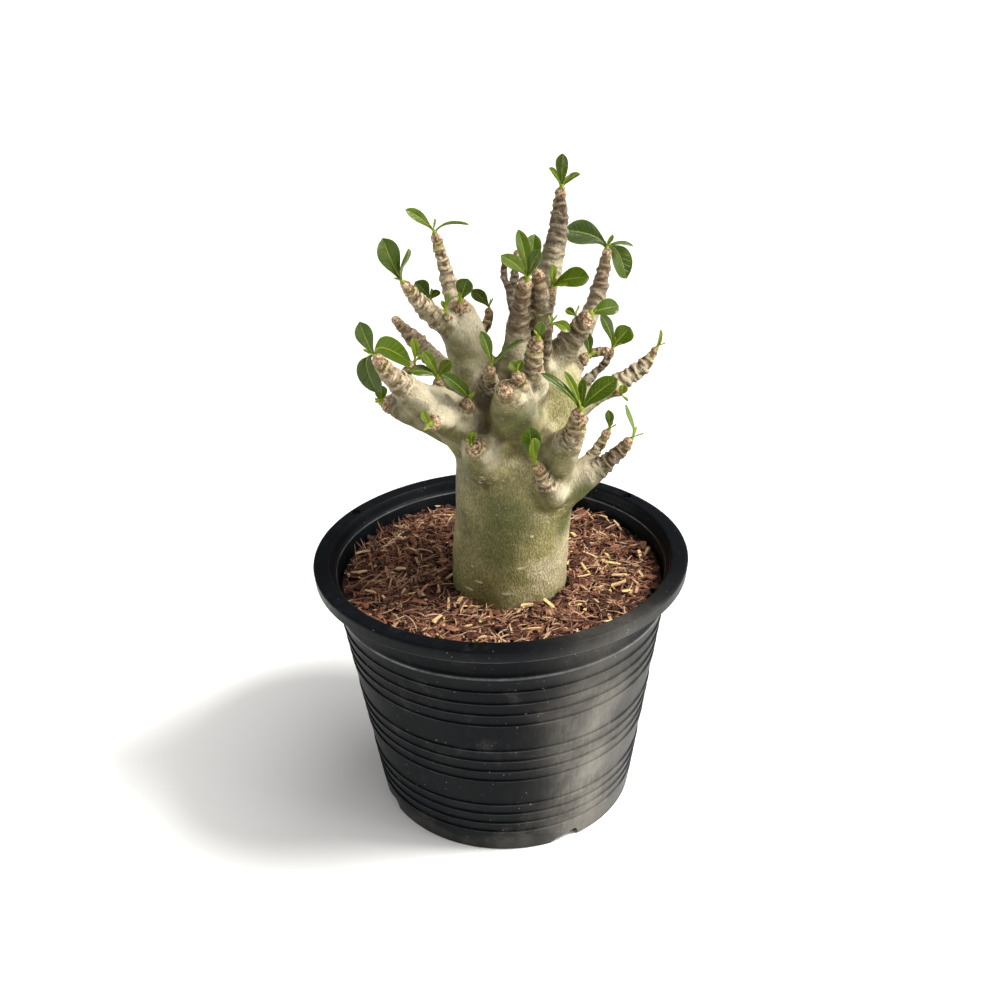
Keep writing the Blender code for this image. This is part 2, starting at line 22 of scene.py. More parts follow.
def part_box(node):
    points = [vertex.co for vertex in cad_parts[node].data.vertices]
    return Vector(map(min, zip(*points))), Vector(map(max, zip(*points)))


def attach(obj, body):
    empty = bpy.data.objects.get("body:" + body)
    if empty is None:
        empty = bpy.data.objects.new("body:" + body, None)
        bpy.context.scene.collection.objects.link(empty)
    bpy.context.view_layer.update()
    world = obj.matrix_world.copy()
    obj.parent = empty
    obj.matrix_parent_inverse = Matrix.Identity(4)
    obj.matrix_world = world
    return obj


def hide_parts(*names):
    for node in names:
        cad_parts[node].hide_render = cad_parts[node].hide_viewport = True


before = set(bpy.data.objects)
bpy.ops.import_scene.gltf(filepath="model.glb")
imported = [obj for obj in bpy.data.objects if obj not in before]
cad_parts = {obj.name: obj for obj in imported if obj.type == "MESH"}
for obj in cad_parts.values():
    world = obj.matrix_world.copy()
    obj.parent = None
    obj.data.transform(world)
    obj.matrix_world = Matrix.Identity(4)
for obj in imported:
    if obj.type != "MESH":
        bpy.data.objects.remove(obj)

MM = 0.001
GOLDEN_ANGLE = math.radians(137.5)
log = logging.getLogger("desert_rose")

Colour = tuple[float, float, float]


class Slot(Enum):
    """The record's material slots."""

    POT = "pot_plastic"
    HUSK = "husk"
    BARK = "bark"
    LEAF = "leaf"


class Blend(Enum):
    """How one colour is laid over another."""

    MIX = "MIX"
    MULTIPLY = "MULTIPLY"


# Shaders


class Signal:
    """A socket of a material, so that shader maths reads as plain expressions."""

    def __init__(self, bench: Bench, socket: bpy.types.NodeSocket) -> None:
        """Keeps an output socket and the material's bench it belongs to."""
        self.bench = bench
        self.socket = socket

    def __add__(self, other: Value) -> Signal:
        """Returns self + other."""
        return self.bench.maths("ADD", self, other)

    def __radd__(self, other: Value) -> Signal:
        """Returns other + self."""
        return self.bench.maths("ADD", other, self)

    def __sub__(self, other: Value) -> Signal:
        """Returns self - other."""
        return self.bench.maths("SUBTRACT", self, other)

    def __rsub__(self, other: Value) -> Signal:
        """Returns other - self."""
        return self.bench.maths("SUBTRACT", other, self)

    def __mul__(self, other: Value) -> Signal:
        """Returns self * other."""
        return self.bench.maths("MULTIPLY", self, other)

    def __rmul__(self, other: Value) -> Signal:
        """Returns other * self."""
        return self.bench.maths("MULTIPLY", other, self)

    def __truediv__(self, other: Value) -> Signal:
        """Returns self / other."""
        return self.bench.maths("DIVIDE", self, other)

    def __pow__(self, other: Value) -> Signal:
        """Returns self to the power of other."""
        return self.bench.maths("POWER", self, other)


Value = Union[Signal, float]
Paint = Union[Signal, Colour]


class Bench:
    """A material being made: its node tree, and the ways that nodes are added to it."""

    def __init__(self, name: str) -> None:
        """Starts an empty material.

        Args:
            name: The material's name.
        """
        self.material = bpy.data.materials.new(name)
        self.material.use_nodes = True
        self.tree = self.material.node_tree
        self.tree.nodes.clear()

    def node(
        self, kind: str, settings: dict[str, object], inputs: dict, output: Union[str, int] = 0
    ) -> Signal:
        """Adds any node.

        Args:
            kind: The node's type, without its ShaderNode prefix.
            settings: What is set on the node first. "stops" are a ramp's (position, colour) pairs.
            inputs: The value or the link of each socket, by its name or place.
            output: Which output socket to return.

        Returns:
            The node's output.
        """
        made = self.tree.nodes.new("ShaderNode" + kind)
        for name, setting in settings.items():
            if name == "stops":
                self._set_stops(made.color_ramp, setting)
            else:
                setattr(made, name, setting)
        for name, given in inputs.items():
            socket = made.inputs[name]
            if isinstance(given, Signal):
                self.tree.links.new(given.socket, socket)
            elif socket.type == "RGBA":
                socket.default_value = (*given, 1)
            else:
                socket.default_value = given
        return Signal(self, made.outputs[output])

    @staticmethod
    def _set_stops(ramp: bpy.types.ColorRamp, stops: Sequence[tuple[float, Colour]]) -> None:
        """Gives a ramp its stops.

        Args:
            ramp: The ramp, with the two stops it starts with.
            stops: Positions and colours, in order.
        """
        while len(ramp.elements) < len(stops):
            ramp.elements.new(1)
        for element, (position, colour) in zip(ramp.elements, stops):
            element.position = position
            element.color = (*colour, 1)

    def maths(self, operation: str, *values: Value) -> Signal:
        """Adds a Math node over values and returns its result."""
        return self.node("Math", {"operation": operation}, dict(enumerate(values)))

    def vector(self, operation: str, *values: Paint, output: str = "Vector") -> Signal:
        """Adds a Vector Math node over values and returns its result."""
        return self.node("VectorMath", {"operation": operation}, dict(enumerate(values)), output)

    def fit(self, value: Value, low: float, high: float, start: float = 0, end: float = 1) -> Signal:
        """Maps a value smoothly, from start at and beyond low to end at and beyond high."""
        ends = {"From Min": low, "From Max": high, "To Min": start, "To Max": end}
        return self.node("MapRange", {"interpolation_type": "SMOOTHSTEP"}, {"Value": value, **ends})

    def place(self, shares: Colour = (1, 1, 1)) -> Signal:
        """The spot on the object in millimetres.

        Args:
            shares: What each coordinate is multiplied by. Under 1, a pattern is drawn out along that axis.

        Returns:
            The coordinates.
        """
        spot = self.node("TexCoord", {}, {}, "Object")
        return self.node("Mapping", {}, {"Vector": spot, "Scale": tuple(share / MM for share in shares)})

    def noise(self, spot: Signal, size: float, detail: float = 2, roughness: float = 0.5) -> Signal:
        """Adds a noise about 0.5, with patches of a size, finer layers (detail) and their strength."""
        inputs = {"Vector": spot, "Scale": 1 / size, "Detail": detail, "Roughness": roughness}
        return self.node("TexNoise", {}, inputs, "Fac")

    def mix(self, share: Value, first: Paint, second: Paint, blend: Blend = Blend.MIX) -> Signal:
        """Lays a share of the second colour over the first."""
        settings = {"data_type": "RGBA", "blend_type": blend.value}
        return self.node("Mix", settings, {0: share, 6: first, 7: second}, 2)

    def ramp(self, value: Value, *stops: tuple[float, Colour]) -> Signal:
        """Turns a value into a colour through a ramp's stops."""
        return self.node("ValToRGB", {"stops": stops}, {"Fac": value})

    def trait(self, name: str) -> tuple[Signal, Signal, Signal]:
        """Reads the three numbers of a mesh's own vector attribute."""
        read = self.node("Attribute", {"attribute_name": name}, {}, "Vector")
        return tuple(self.node("SeparateXYZ", {}, {"Vector": read}, axis) for axis in "XYZ")

    def bump(self, height: Value, depth: float, below: Union[Signal, None] = None) -> Signal:
        """Adds relief.

        Args:
            height: The relief, from 0 to 1.
            depth: How high 1 stands, in millimetres.
            below: Another relief that this one lies on.

        Returns:
            The normal.
        """
        inputs = {"Height": height, "Distance": depth * MM, "Strength": 1.0}
        if below is not None:
            inputs["Normal"] = below
        return self.node("Bump", {}, inputs)

    def finish(self, **inputs: object) -> bpy.types.Material:
        """Closes the material with a Principled shader.

        Args:
            **inputs: The shader's sockets, with _ for each space in their names.

        Returns:
            The material.
        """
        named = {name.replace("_", " "): given for name, given in inputs.items()}
        shader = self.node("BsdfPrincipled", {}, named)
        output = self.tree.nodes.new("ShaderNodeOutputMaterial")
        self.tree.links.new(shader.socket, output.inputs["Surface"])
        return self.material


# Meshes


@dataclass
class Shell:
    """Points and faces that are gathered, in millimetres, before they become one mesh.

    Attributes:
        points: The points, one array for each thing added.
        quads: The four-sided faces, by point number.
        triangles: The three-sided faces, by point number.
        traits: Three numbers for each point, under each trait's name, which the finish reads.
        count: How many points there are.
    """

    points: list[np.ndarray] = field(default_factory=list)
    quads: list[np.ndarray] = field(default_factory=list)
    triangles: list[np.ndarray] = field(default_factory=list)
    traits: dict[str, list[np.ndarray]] = field(default_factory=dict)
    count: int = 0

    def add(self, points: np.ndarray, quads: np.ndarray, triangles: np.ndarray, **traits: np.ndarray) -> None:
        """Adds a piece of surface.

        Args:
            points: Its points.
            quads: Its four-sided faces.
            triangles: Its three-sided faces.
            **traits: Three numbers for each point, the same traits each time.
        """
        self.quads.append(quads + self.count)
        self.triangles.append(triangles + self.count)
        self.points.append(points)
        for name, numbers in traits.items():
            self.traits.setdefault(name, []).append(numbers)
        self.count += len(points)

    def tubes(self, tubes: np.ndarray, **traits: np.ndarray) -> None:
        """Adds closed tubes, each through its own rings, with a flat face on each end.

        Args:
            tubes: The points, as (tube, ring, point in the ring, 3).
            **traits: Three numbers for each of those points.
        """
        many, length, sides = tubes.shape[:3]
        places = np.arange(length * sides).reshape(length, sides)
        beside = np.roll(places, -1, 1)
        quads = np.stack([places[:-1], beside[:-1], beside[1:], places[1:]], -1).reshape(-1, 4)
        inner = np.arange(1, sides - 1)
        start = np.stack([np.zeros_like(inner), inner + 1, inner], -1)
        triangles = np.vstack([start, start[:, ::-1] + (length - 1) * sides])
        flat = tubes.reshape(many, -1, 3)
        corners = flat[0][np.vstack([quads[:, :3], quads[:, [0, 2, 3]], triangles])]
        corners = corners - flat[0].mean(0)
        if np.linalg.det(corners).sum() < 0:
            quads, triangles = quads[:, ::-1], triangles[:, ::-1]
        shifts = (np.arange(many) * length * sides)[:, None, None]
        self.add(
            flat.reshape(-1, 3),
            (quads + shifts).reshape(-1, 4),
            (triangles + shifts).reshape(-1, 3),
            **{name: numbers.reshape(-1, 3) for name, numbers in traits.items()},
        )

    def build(self, name: str, material: bpy.types.Material, sharp: float = 180) -> bpy.types.Object:
        """Makes the object, in metres.

        Args:
            name: The object's name.
            material: Its finish.
            sharp: The angle, in degrees, beyond which an edge isn't shaded smooth.

        Returns:
            The object, in the scene.
        """
        quads, triangles = np.vstack(self.quads), np.vstack(self.triangles)
        corners = np.concatenate([quads.ravel(), triangles.ravel()]).astype(np.int32)
        sizes = np.concatenate([np.full(len(quads), 4), np.full(len(triangles), 3)])
        mesh = bpy.data.meshes.new(name)
        mesh.vertices.add(self.count)
        mesh.vertices.foreach_set("co", (np.vstack(self.points) * MM).astype(np.float32).ravel())
        mesh.loops.add(len(corners))
        mesh.loops.foreach_set("vertex_index", corners)
        mesh.polygons.add(len(sizes))
        mesh.polygons.foreach_set("loop_start", np.concatenate([[0], np.cumsum(sizes)[:-1]]).astype(np.int32))
        mesh.update(calc_edges=True)
        mesh.validate()
        for trait, numbers in self.traits.items():
            attribute = mesh.attributes.new(trait, "FLOAT_VECTOR", "POINT")
            attribute.data.foreach_set("vector", np.vstack(numbers).astype(np.float32).ravel())
        mesh.materials.append(material)
        mesh.shade_smooth()
        if sharp < 180:
            mesh.set_sharp_from_angle(angle=math.radians(sharp))
        thing = bpy.data.objects.new(name, mesh)
        bpy.context.scene.collection.objects.link(thing)
        return thing


def settle(thing: bpy.types.Object, slot: Slot, *nodes: str) -> bpy.types.Object:
    """Hangs a piece under the root body, hides the solids that it stands for, and reports it.

    Args:
        thing: The piece.
        slot: The material slot that it takes its finish from; not used.
        *nodes: The solids that it stands for.

    Returns:
        The piece.
    """
    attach(thing, "root")
    if nodes:
        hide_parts(*nodes)
    log.info("%s: %d faces", thing.name, len(thing.data.polygons))
    return thing


def smooth_route(knots: Sequence[Sequence[float]], steps: int) -> np.ndarray:
    """Rows every so often along a smooth curve through the rows given.

    Args:
        knots: Points, which may hold more than three numbers.
        steps: How many rows there are for each stretch between knots.

    Returns:
        The fine rows, the last knot included.
    """
    rows = np.array(knots, float)
    rows = np.vstack([2 * rows[0] - rows[1], rows, 2 * rows[-1] - rows[-2]])
    t = np.arange(steps)[:, None] / steps
    runs = [
        0.5 * (2 * b + (c - a) * t + (2 * a - 5 * b + 4 * c - d) * t**2 + (3 * b - a - 3 * c + d) * t**3)
        for a, b, c, d in zip(rows, rows[1:], rows[2:], rows[3:])
    ]
    return np.vstack([*runs, rows[-2:-1]])


def side_vectors(directions: np.ndarray, first: Sequence[float] = (0.31, 0.95, 0.05)) -> np.ndarray:
    """A side vector square to each direction, each near the last one, so that a tube doesn't twist.

    Args:
        directions: Unit vectors along a route.
        first: What the first side vector is near.

    Returns:
        The side vectors.
    """
    sides, side = [], np.array(first, float)
    for direction in directions:
        side = side - direction * (side @ direction)
        side /= np.linalg.norm(side)
        sides.append(side)
    return np.array(sides)


def circle(sides: int) -> np.ndarray:
    """Points all round a level circle of radius 1 about the origin."""
    angles = np.linspace(0, math.tau, sides, endpoint=False)
    return np.stack([np.cos(angles), np.sin(angles), 0 * angles], -1)


def unit(vectors: np.ndarray) -> np.ndarray:
    """The vectors at length 1."""
    return vectors / np.maximum(np.linalg.norm(vectors, axis=-1, keepdims=True), 1e-9)


def headings(route: np.ndarray) -> np.ndarray:
    """The unit direction at each point of a route."""
    return unit(np.gradient(route[:, :3], axis=0))


def smoothstep(value: np.ndarray, low: float, high: float) -> np.ndarray:
    """A smooth rise from 0 at low to 1 at high."""
    share = np.clip((value - low) / (high - low), 0, 1)
    return share * share * (3 - 2 * share)


class Ripple:
    """Smooth seeded noise in space, from -1 to 1."""

    CELLS = 32  # along each side of the lattice

    def __init__(self, seed: int) -> None:
        """Draws the noise's lattice from a seed."""
        self.lattice = np.random.default_rng(seed).uniform(-1, 1, (self.CELLS,) * 3).astype(np.float32)

    def at(self, points: np.ndarray, size: float) -> np.ndarray:
        """Reads the noise.

        Args:
            points: Where, in millimetres.
            size: How wide one patch is.

        Returns:
            The noise at each point.
        """
        spots = points / size
        cells = np.floor(spots).astype(int)
        t = spots - cells
        t = t * t * (3 - 2 * t)
        total = np.zeros(len(points))
        for corner in np.ndindex(2, 2, 2):
            x, y, z = ((cells + corner) % self.CELLS).T
            share = np.prod(np.where(corner, t, 1 - t), axis=1)
            total += share * self.lattice[x, y, z]
        return total


# Pot


# The height of each line round the wall, where the band above stands back
LINES = (17.5, 25.9, 34.7, 43.4, 65.9, 74.6, 83.7, 92.6, 114.7, 123.5, 132.7, 142.5)


@dataclass(frozen=True)
class BlackPlastic:
    """Moulded black plastic with a satin skin, scuffed and dusty towards its foot, with painted highlights on
    its edges and a painted sheen on one side.

    Attributes:
        black: The clean plastic.
        worn: The plastic where it is rubbed grey.
        dust: The dried soil on it.
        dust_and_sheen: The pale dusty coat on the side that faced the sun, paler than dust alone, as a
            painted sheen.
        edge_highlight: Painted highlight: paler plastic along each rounded edge and ledge, where the edge
            would catch the light.
        edges: The height of each edge with a painted highlight, how far the highlight reaches, and how strong
            it is.
        dusty_below: The height under which dust gathers.
        sheen_bearing: The bearing of that dusty coat and its painted sheen.
    """

    black: Colour = (0.0036, 0.0045, 0.006)
    worn: Colour = (0.0095, 0.0108, 0.0135)
    dust: Colour = (0.14, 0.132, 0.115)
    dust_and_sheen: Colour = (0.33, 0.305, 0.265)
    edge_highlight: Colour = (0.24, 0.25, 0.26)
    edges: tuple[tuple[float, float, float], ...] = (
        (173.9, 0.9, 0.8), (153.4, 1.5, 0.7), *((line - 0.8, 0.6, 0.22) for line in LINES),
    )
    dusty_below: float = 30.0
    sheen_bearing: float = -60.0

    def make(self) -> bpy.types.Material:
        """Makes the material.

        Returns:
            The black plastic.
        """
        bench = Bench("black_plastic")
        spot = bench.place()
        height = bench.node("SeparateXYZ", {}, {"Vector": spot}, "Z")
        clouds = bench.noise(spot, 26, 4, 0.6)
        grains = bench.noise(spot, 1.6, 3, 0.65)
        low = bench.fit(height, self.dusty_below, 0)
        dusty = bench.fit(clouds + 0.2 * low + 0.25 * grains, 0.7, 1.0)
        specks = bench.fit(bench.noise(spot, 2.6, 1), 0.745, 0.8)
        rubbed = bench.fit(bench.noise(bench.place((1, 1, 0.22)), 7, 4, 0.7), 0.5, 0.78)
        streaks = bench.noise(bench.place((1, 1, 0.06)), 2.2, 2)
        paint = bench.mix(0.75 * rubbed, self.black, self.worn)
        # Painted sheen: a pale upright band round one bearing, partly dust and partly a painted reflection of
        # the light.
        dust_and_sheen_share = 0.8 * self.faced(bench, spot, self.sheen_bearing, 40)
        dust_and_sheen_share = dust_and_sheen_share + 0.3 * self.faced(bench, spot, self.sheen_bearing + 14, 16)
        dust_and_sheen_share = dust_and_sheen_share * bench.fit(clouds + 0.35 * streaks, 0.4, 0.95, 0.45, 1.2)
        dust_and_sheen_share = dust_and_sheen_share * bench.fit(height, 150, 110, 0.35, 1)
        patchy = bench.fit(clouds + 0.3 * grains, 0.4, 0.9, 0.2, 1)
        # Painted highlight: the rim's lower edge, the shoulder bead and each ledge are painted paler in thin
        # bands.
        for edge, width, strength in self.edges:
            edge_glint = bench.fit(bench.maths("ABSOLUTE", height - edge), width, 0, 0, strength)
            paint = bench.mix(edge_glint * patchy, paint, self.edge_highlight)
        paint = bench.mix(0.52 * dust_and_sheen_share, paint, self.dust_and_sheen)
        paint = bench.mix(0.4 * dusty, paint, self.dust)
        paint = bench.mix(0.4 * specks, paint, (0.32, 0.3, 0.26))
        relief = bench.bump(bench.noise(spot, 0.9, 2), 0.05, bench.bump(streaks, 0.12))
        return bench.finish(
            Base_Color=paint,
            Roughness=0.3 + 0.1 * clouds + 0.25 * dusty + 0.08 * grains + 0.12 * dust_and_sheen_share,
            Normal=relief,
            Specular_IOR_Level=0.06,
        )

    @staticmethod
    def faced(bench: Bench, spot: Signal, bearing: float, narrow: float) -> Signal:
        """A soft upright band round one bearing of the pot.

        Args:
            bench: The material's bench.
            spot: The spot on the pot.
            bearing: The band's middle.
            narrow: How narrow it is.

        Returns:
            The band, 1 in its middle.
        """
        outward = bench.vector("NORMALIZE", bench.vector("MULTIPLY", spot, (1, 1, 0)))
        cosine = bench.vector("DOT_PRODUCT", outward, tuple(around(bearing, 1, 0)), output="Value")
        return bench.maths("MAXIMUM", cosine, 0.0) ** narrow


@dataclass
class NurseryPot:
    """The thin moulded pot, with its turned-down rim, its stepped wall, its foot ring and its holes.

    Attributes:
        finish: Its plastic.
        lip_width: The rim's flat top.
        skirt_depth: How far the rim hangs down outside.
        wall: How thick the plastic is.
        foot_radius: The wall's outer radius at the floor.
        spread: How far the wall leans out for each millimetre of height.
        shoulder_height: The bead under the rim's recess.
        step_depth: How far the wall stands back above each line.
        floor_height: The underside of the pot's floor.
        notch_bearings: Where the foot's drain notches are.
        hanger_bearings: Where the rim's holes for a hanger are.
        hanger_radius: How large those holes are.
        drain_radius: How large the floor's holes are.
        drain_inset: How far in from the foot's edge they are.
        cut_depth: How far the cutter of a round hole reaches above and below its middle.
        sides: How many flats stand for a full turn.
    """

    finish: BlackPlastic = field(default_factory=BlackPlastic)
    lip_width: float = 11.2
    skirt_depth: float = 8.3
    wall: float = 1.9
    foot_radius: float = 90.0
    spread: float = 24.7 / 181.0
    shoulder_height: float = 154.0
    step_depth: float = 0.9
    floor_height: float = 9.0
    notch_bearings: tuple[float, ...] = (-65, 25, 115, 205)
    hanger_bearings: tuple[float, ...] = (38, 150, 261)
    hanger_radius: float = 3.5
    drain_radius: float = 6.0
    drain_inset: float = 20.0
    cut_depth: float = 4.0
    sides: int = 192

    def __post_init__(self) -> None:
        """Reads the rim's size from the frame."""
        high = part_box("pot")[1] / MM
        self.rim_radius, self.rim_height = high.x, high.z

    def wall_radius(self, height: float) -> float:
        """The wall's outer radius at a height."""
        return self.foot_radius + self.spread * height

    def inner_radius(self, height: float) -> float:
        """The inside radius at a height below the shoulder."""
        return self.wall_radius(height) - self.wall - self.step_depth - 0.3

    def outside(self) -> list[tuple[float, float]]:
        """Draws the profile from the middle of the underside up to the rim's top.

        Returns:
            Its points, as (radius, height).
        """
        foot, floor = self.foot_radius, self.floor_height
        profile = [(12, floor), (foot - 12, floor), (foot - 5.4, floor), (foot - 4.6, floor - 1)]
        profile += [(foot - 3.7, 0.5), (foot - 3.2, 0), (foot - 0.7, 0), (foot - 0.1, 0.5)]
        for height in LINES:
            out = self.wall_radius(height)
            back = out - self.step_depth
            profile += [(out - 0.06, height - 1.4), (out, height - 0.75), (out - 0.16, height - 0.42)]
            profile += [(back - 0.3, height - 0.3), (back - 0.45, height), (back - 0.3, height + 0.28)]
            profile += [(back + 0.02, height + 0.45), (back + 0.1, height + 1.3)]
        shoulder, top = self.wall_radius(self.shoulder_height), self.shoulder_height
        profile += [(shoulder - 0.1, top - 3.2), (shoulder + 0.35, top - 1.6), (shoulder + 0.5, top - 0.4)]
        profile += [(shoulder + 0.25, top + 0.7), (shoulder - 0.5, top + 1.8), (shoulder - 0.9, top + 3.2)]
        under = self.rim_height - self.wall
        flange = self.rim_radius - self.lip_width + self.wall
        profile += [(self.wall_radius(168), 168), (flange + 0.7, under - 1), (flange + 1.6, under - 0.1)]
        rim = self.rim_radius
        profile += [(rim - self.wall - 1.2, under), (rim - self.wall - 0.6, under - 0.7)]
        bottom = self.rim_height - self.skirt_depth
        profile += [(rim - self.wall - 0.9, bottom + 0.5), (rim - self.wall - 0.5, bottom)]
        profile += [(rim - 1.0, bottom), (rim - 0.6, bottom + 0.4), (rim - 0.1, self.rim_height - 1.6)]
        return profile + [(rim, self.rim_height - 1.0), (rim - 0.25, self.rim_height - 0.4)]

    def inside(self) -> list[tuple[float, float]]:
        """Draws the profile from the rim's top down the inside to the middle of the floor.

        Returns:
            Its points, as (radius, height).
        """
        lip, rim, top = self.rim_radius - self.lip_width, self.rim_radius, self.rim_height
        profile = [(rim - 0.9, top), (rim - 3, top - 0.05), (lip + 2.4, top - 0.05), (lip + 0.8, top - 0.2)]
        profile += [(lip + 0.1, top - 0.9), (lip - 0.8, top - 4), (lip - 1.7, top - 6.6)]
        profile += [(lip - 2.1, top - 7.2), (lip - 3.1, top - 7.5), (lip - 3.5, top - 8.1)]
        profile += [(self.inner_radius(self.shoulder_height), self.shoulder_height - 2)]
        floor = self.floor_height + self.wall
        edge = self.inner_radius(floor)
        return profile + [(edge, floor + 1), (edge - 1, floor), (12, floor)]

    def notch(self, bearing: float) -> np.ndarray:
        """Shapes the cutter of one drain notch: steep on one side, a long slope on the other.

        Args:
            bearing: Where the notch is.

        Returns:
            The cutter's rings.
        """
        outline = (
            (-12, -1), (-11.5, 0.1), (-7, 2.9), (-2, 4.6), (3, 6.4), (6.4, 7.2), (8.6, 6.4), (9.8, 3.6),
            (10, -1),
        )
        deep = (self.foot_radius - 9, self.foot_radius + 5)
        rings = np.array([[(x, y, z) for y, z in outline] for x in deep], float)
        return rings @ np.array(Matrix.Rotation(math.radians(bearing), 3, "Z")).T

    def drill(self, bearing: float, radius: float, height: float, size: float) -> np.ndarray:
        """Shapes the cutter of one round upright hole.

        Args:
            bearing: Where the hole is.
            radius: How far from the pot's axis.
            height: How high.
            size: Its radius.

        Returns:
            The cutter's rings.
        """
        ring = np.array(around(bearing, radius, 0)) + size * circle(24)
        return np.stack([ring + (0, 0, height + side * self.cut_depth) for side in (-1, 1)])

    def cut(self, pot: bpy.types.Object, material: bpy.types.Material) -> None:
        """Cuts the notches, the drain holes and the hanger holes.

        Args:
            pot: The turned pot.
            material: Its finish.
        """
        cutters = Shell()
        drains = self.foot_radius - self.drain_inset
        for bearing in self.notch_bearings:
            cutters.tubes(self.notch(bearing)[None])
            hole = self.drill(bearing + 45, drains, self.floor_height, self.drain_radius)
            cutters.tubes(hole[None])
        middle = self.rim_radius - self.lip_width / 2 + 0.3
        for bearing in self.hanger_bearings:
            cutters.tubes(self.drill(bearing, middle, self.rim_height, self.hanger_radius)[None])
        cutter = cutters.build("pot_cutters", material)
        boolean = pot.modifiers.new("holes", "BOOLEAN")
        boolean.operation = "DIFFERENCE"
        boolean.object = cutter
        boolean.solver = "MANIFOLD"
        graph = bpy.context.evaluated_depsgraph_get()
        pot.data = bpy.data.meshes.new_from_object(pot.evaluated_get(graph))
        pot.modifiers.clear()
        bpy.data.objects.remove(cutter)
        pot.data.set_sharp_from_angle(angle=math.radians(42))

    def build(self) -> None:
        """Turns the pot, cuts its holes and puts it in the scene."""
        material = self.finish.make()
        profile = np.array(self.outside() + self.inside())
        rings = profile[:, :1, None] * circle(self.sides)
        rings[..., 2] = profile[:, 1:]
        shell = Shell()
        shell.tubes(rings[None])
        pot = shell.build("nursery_pot", material)
        self.cut(pot, material)
        settle(pot, Slot.POT, "pot")


def around(bearing: float, radius: float, height: float) -> Vector:
    """The point at a bearing and a radius from the pot's axis."""
    angle = math.radians(bearing)
    return Vector((radius * math.cos(angle), radius * math.sin(angle), height))


# Fill


@dataclass(frozen=True)
class HuskFinish:
    """Chopped coconut husk: each piece has its own tone, from wet dark brown to dry straw.

    Attributes:
        stops: The tones, from the darkest to the palest.
    """

    stops: tuple[tuple[float, Colour], ...] = (
        (0.0, (0.012, 0.007, 0.006)),
        (0.2, (0.045, 0.02, 0.014)),
        (0.4, (0.16, 0.058, 0.033)),
        (0.58, (0.33, 0.15, 0.088)),
        (0.72, (0.52, 0.32, 0.2)),
        (0.86, (0.68, 0.48, 0.29)),
        (0.93, (0.78, 0.54, 0.2)),
        (1.0, (0.85, 0.7, 0.35)),
    )

    def make(self) -> bpy.types.Material:
        """Makes the material.

        Returns:
            The husk.
        """
        bench = Bench("coconut_husk")
        tone, along, across = bench.trait("husk")
        spot = bench.place()
        grain = bench.node("CombineXYZ", {}, {"X": across * 2.4, "Y": along * 0.16, "Z": tone * 90})
        threads = bench.noise(grain, 1, 3, 0.6)
        blotches = bench.noise(spot, 3.5, 3, 0.6)
        damp = bench.noise(spot, 17, 2)
        shade = tone + 0.26 * (threads - 0.5) + 0.3 * (blotches - 0.5) + 0.5 * (damp - 0.46)
        paint = bench.ramp(shade, *self.stops)
        return bench.finish(
            Base_Color=paint,
            Roughness=0.93 - 0.25 * threads,
            Normal=bench.bump(threads, 0.35, bench.bump(blotches, 0.4)),
            Specular_IOR_Level=0.3,
        )


@dataclass(frozen=True)
class Scrap:
    """One kind of husk piece.

    Attributes:
        count: How many there are.
        length: Its shortest and longest.
        width: Its narrowest and widest.
        thickness: Its thinnest and thickest.
        tone: Its darkest and palest.
        bow: How far it bends, for each millimetre of its length.
        tilt: How steeply it may lie, in degrees.
        lift: How far above the bed its middle may lie.
        sides: How many sides its section has.
        taper: How much narrower its ends are.
        inner: How far from the pot's middle it starts, as a share of the bed's radius. Past 0, it stands up.
        bearings: The bearings that it lies between.
    """

    count: int
    length: tuple[float, float]
    width: tuple[float, float]
    thickness: tuple[float, float]
    tone: tuple[float, float]
    bow: float
    tilt: float
    lift: float
    sides: int = 4
    taper: float = 0.62
    inner: float = 0.0
    bearings: tuple[float, float] = (-180.0, 180.0)


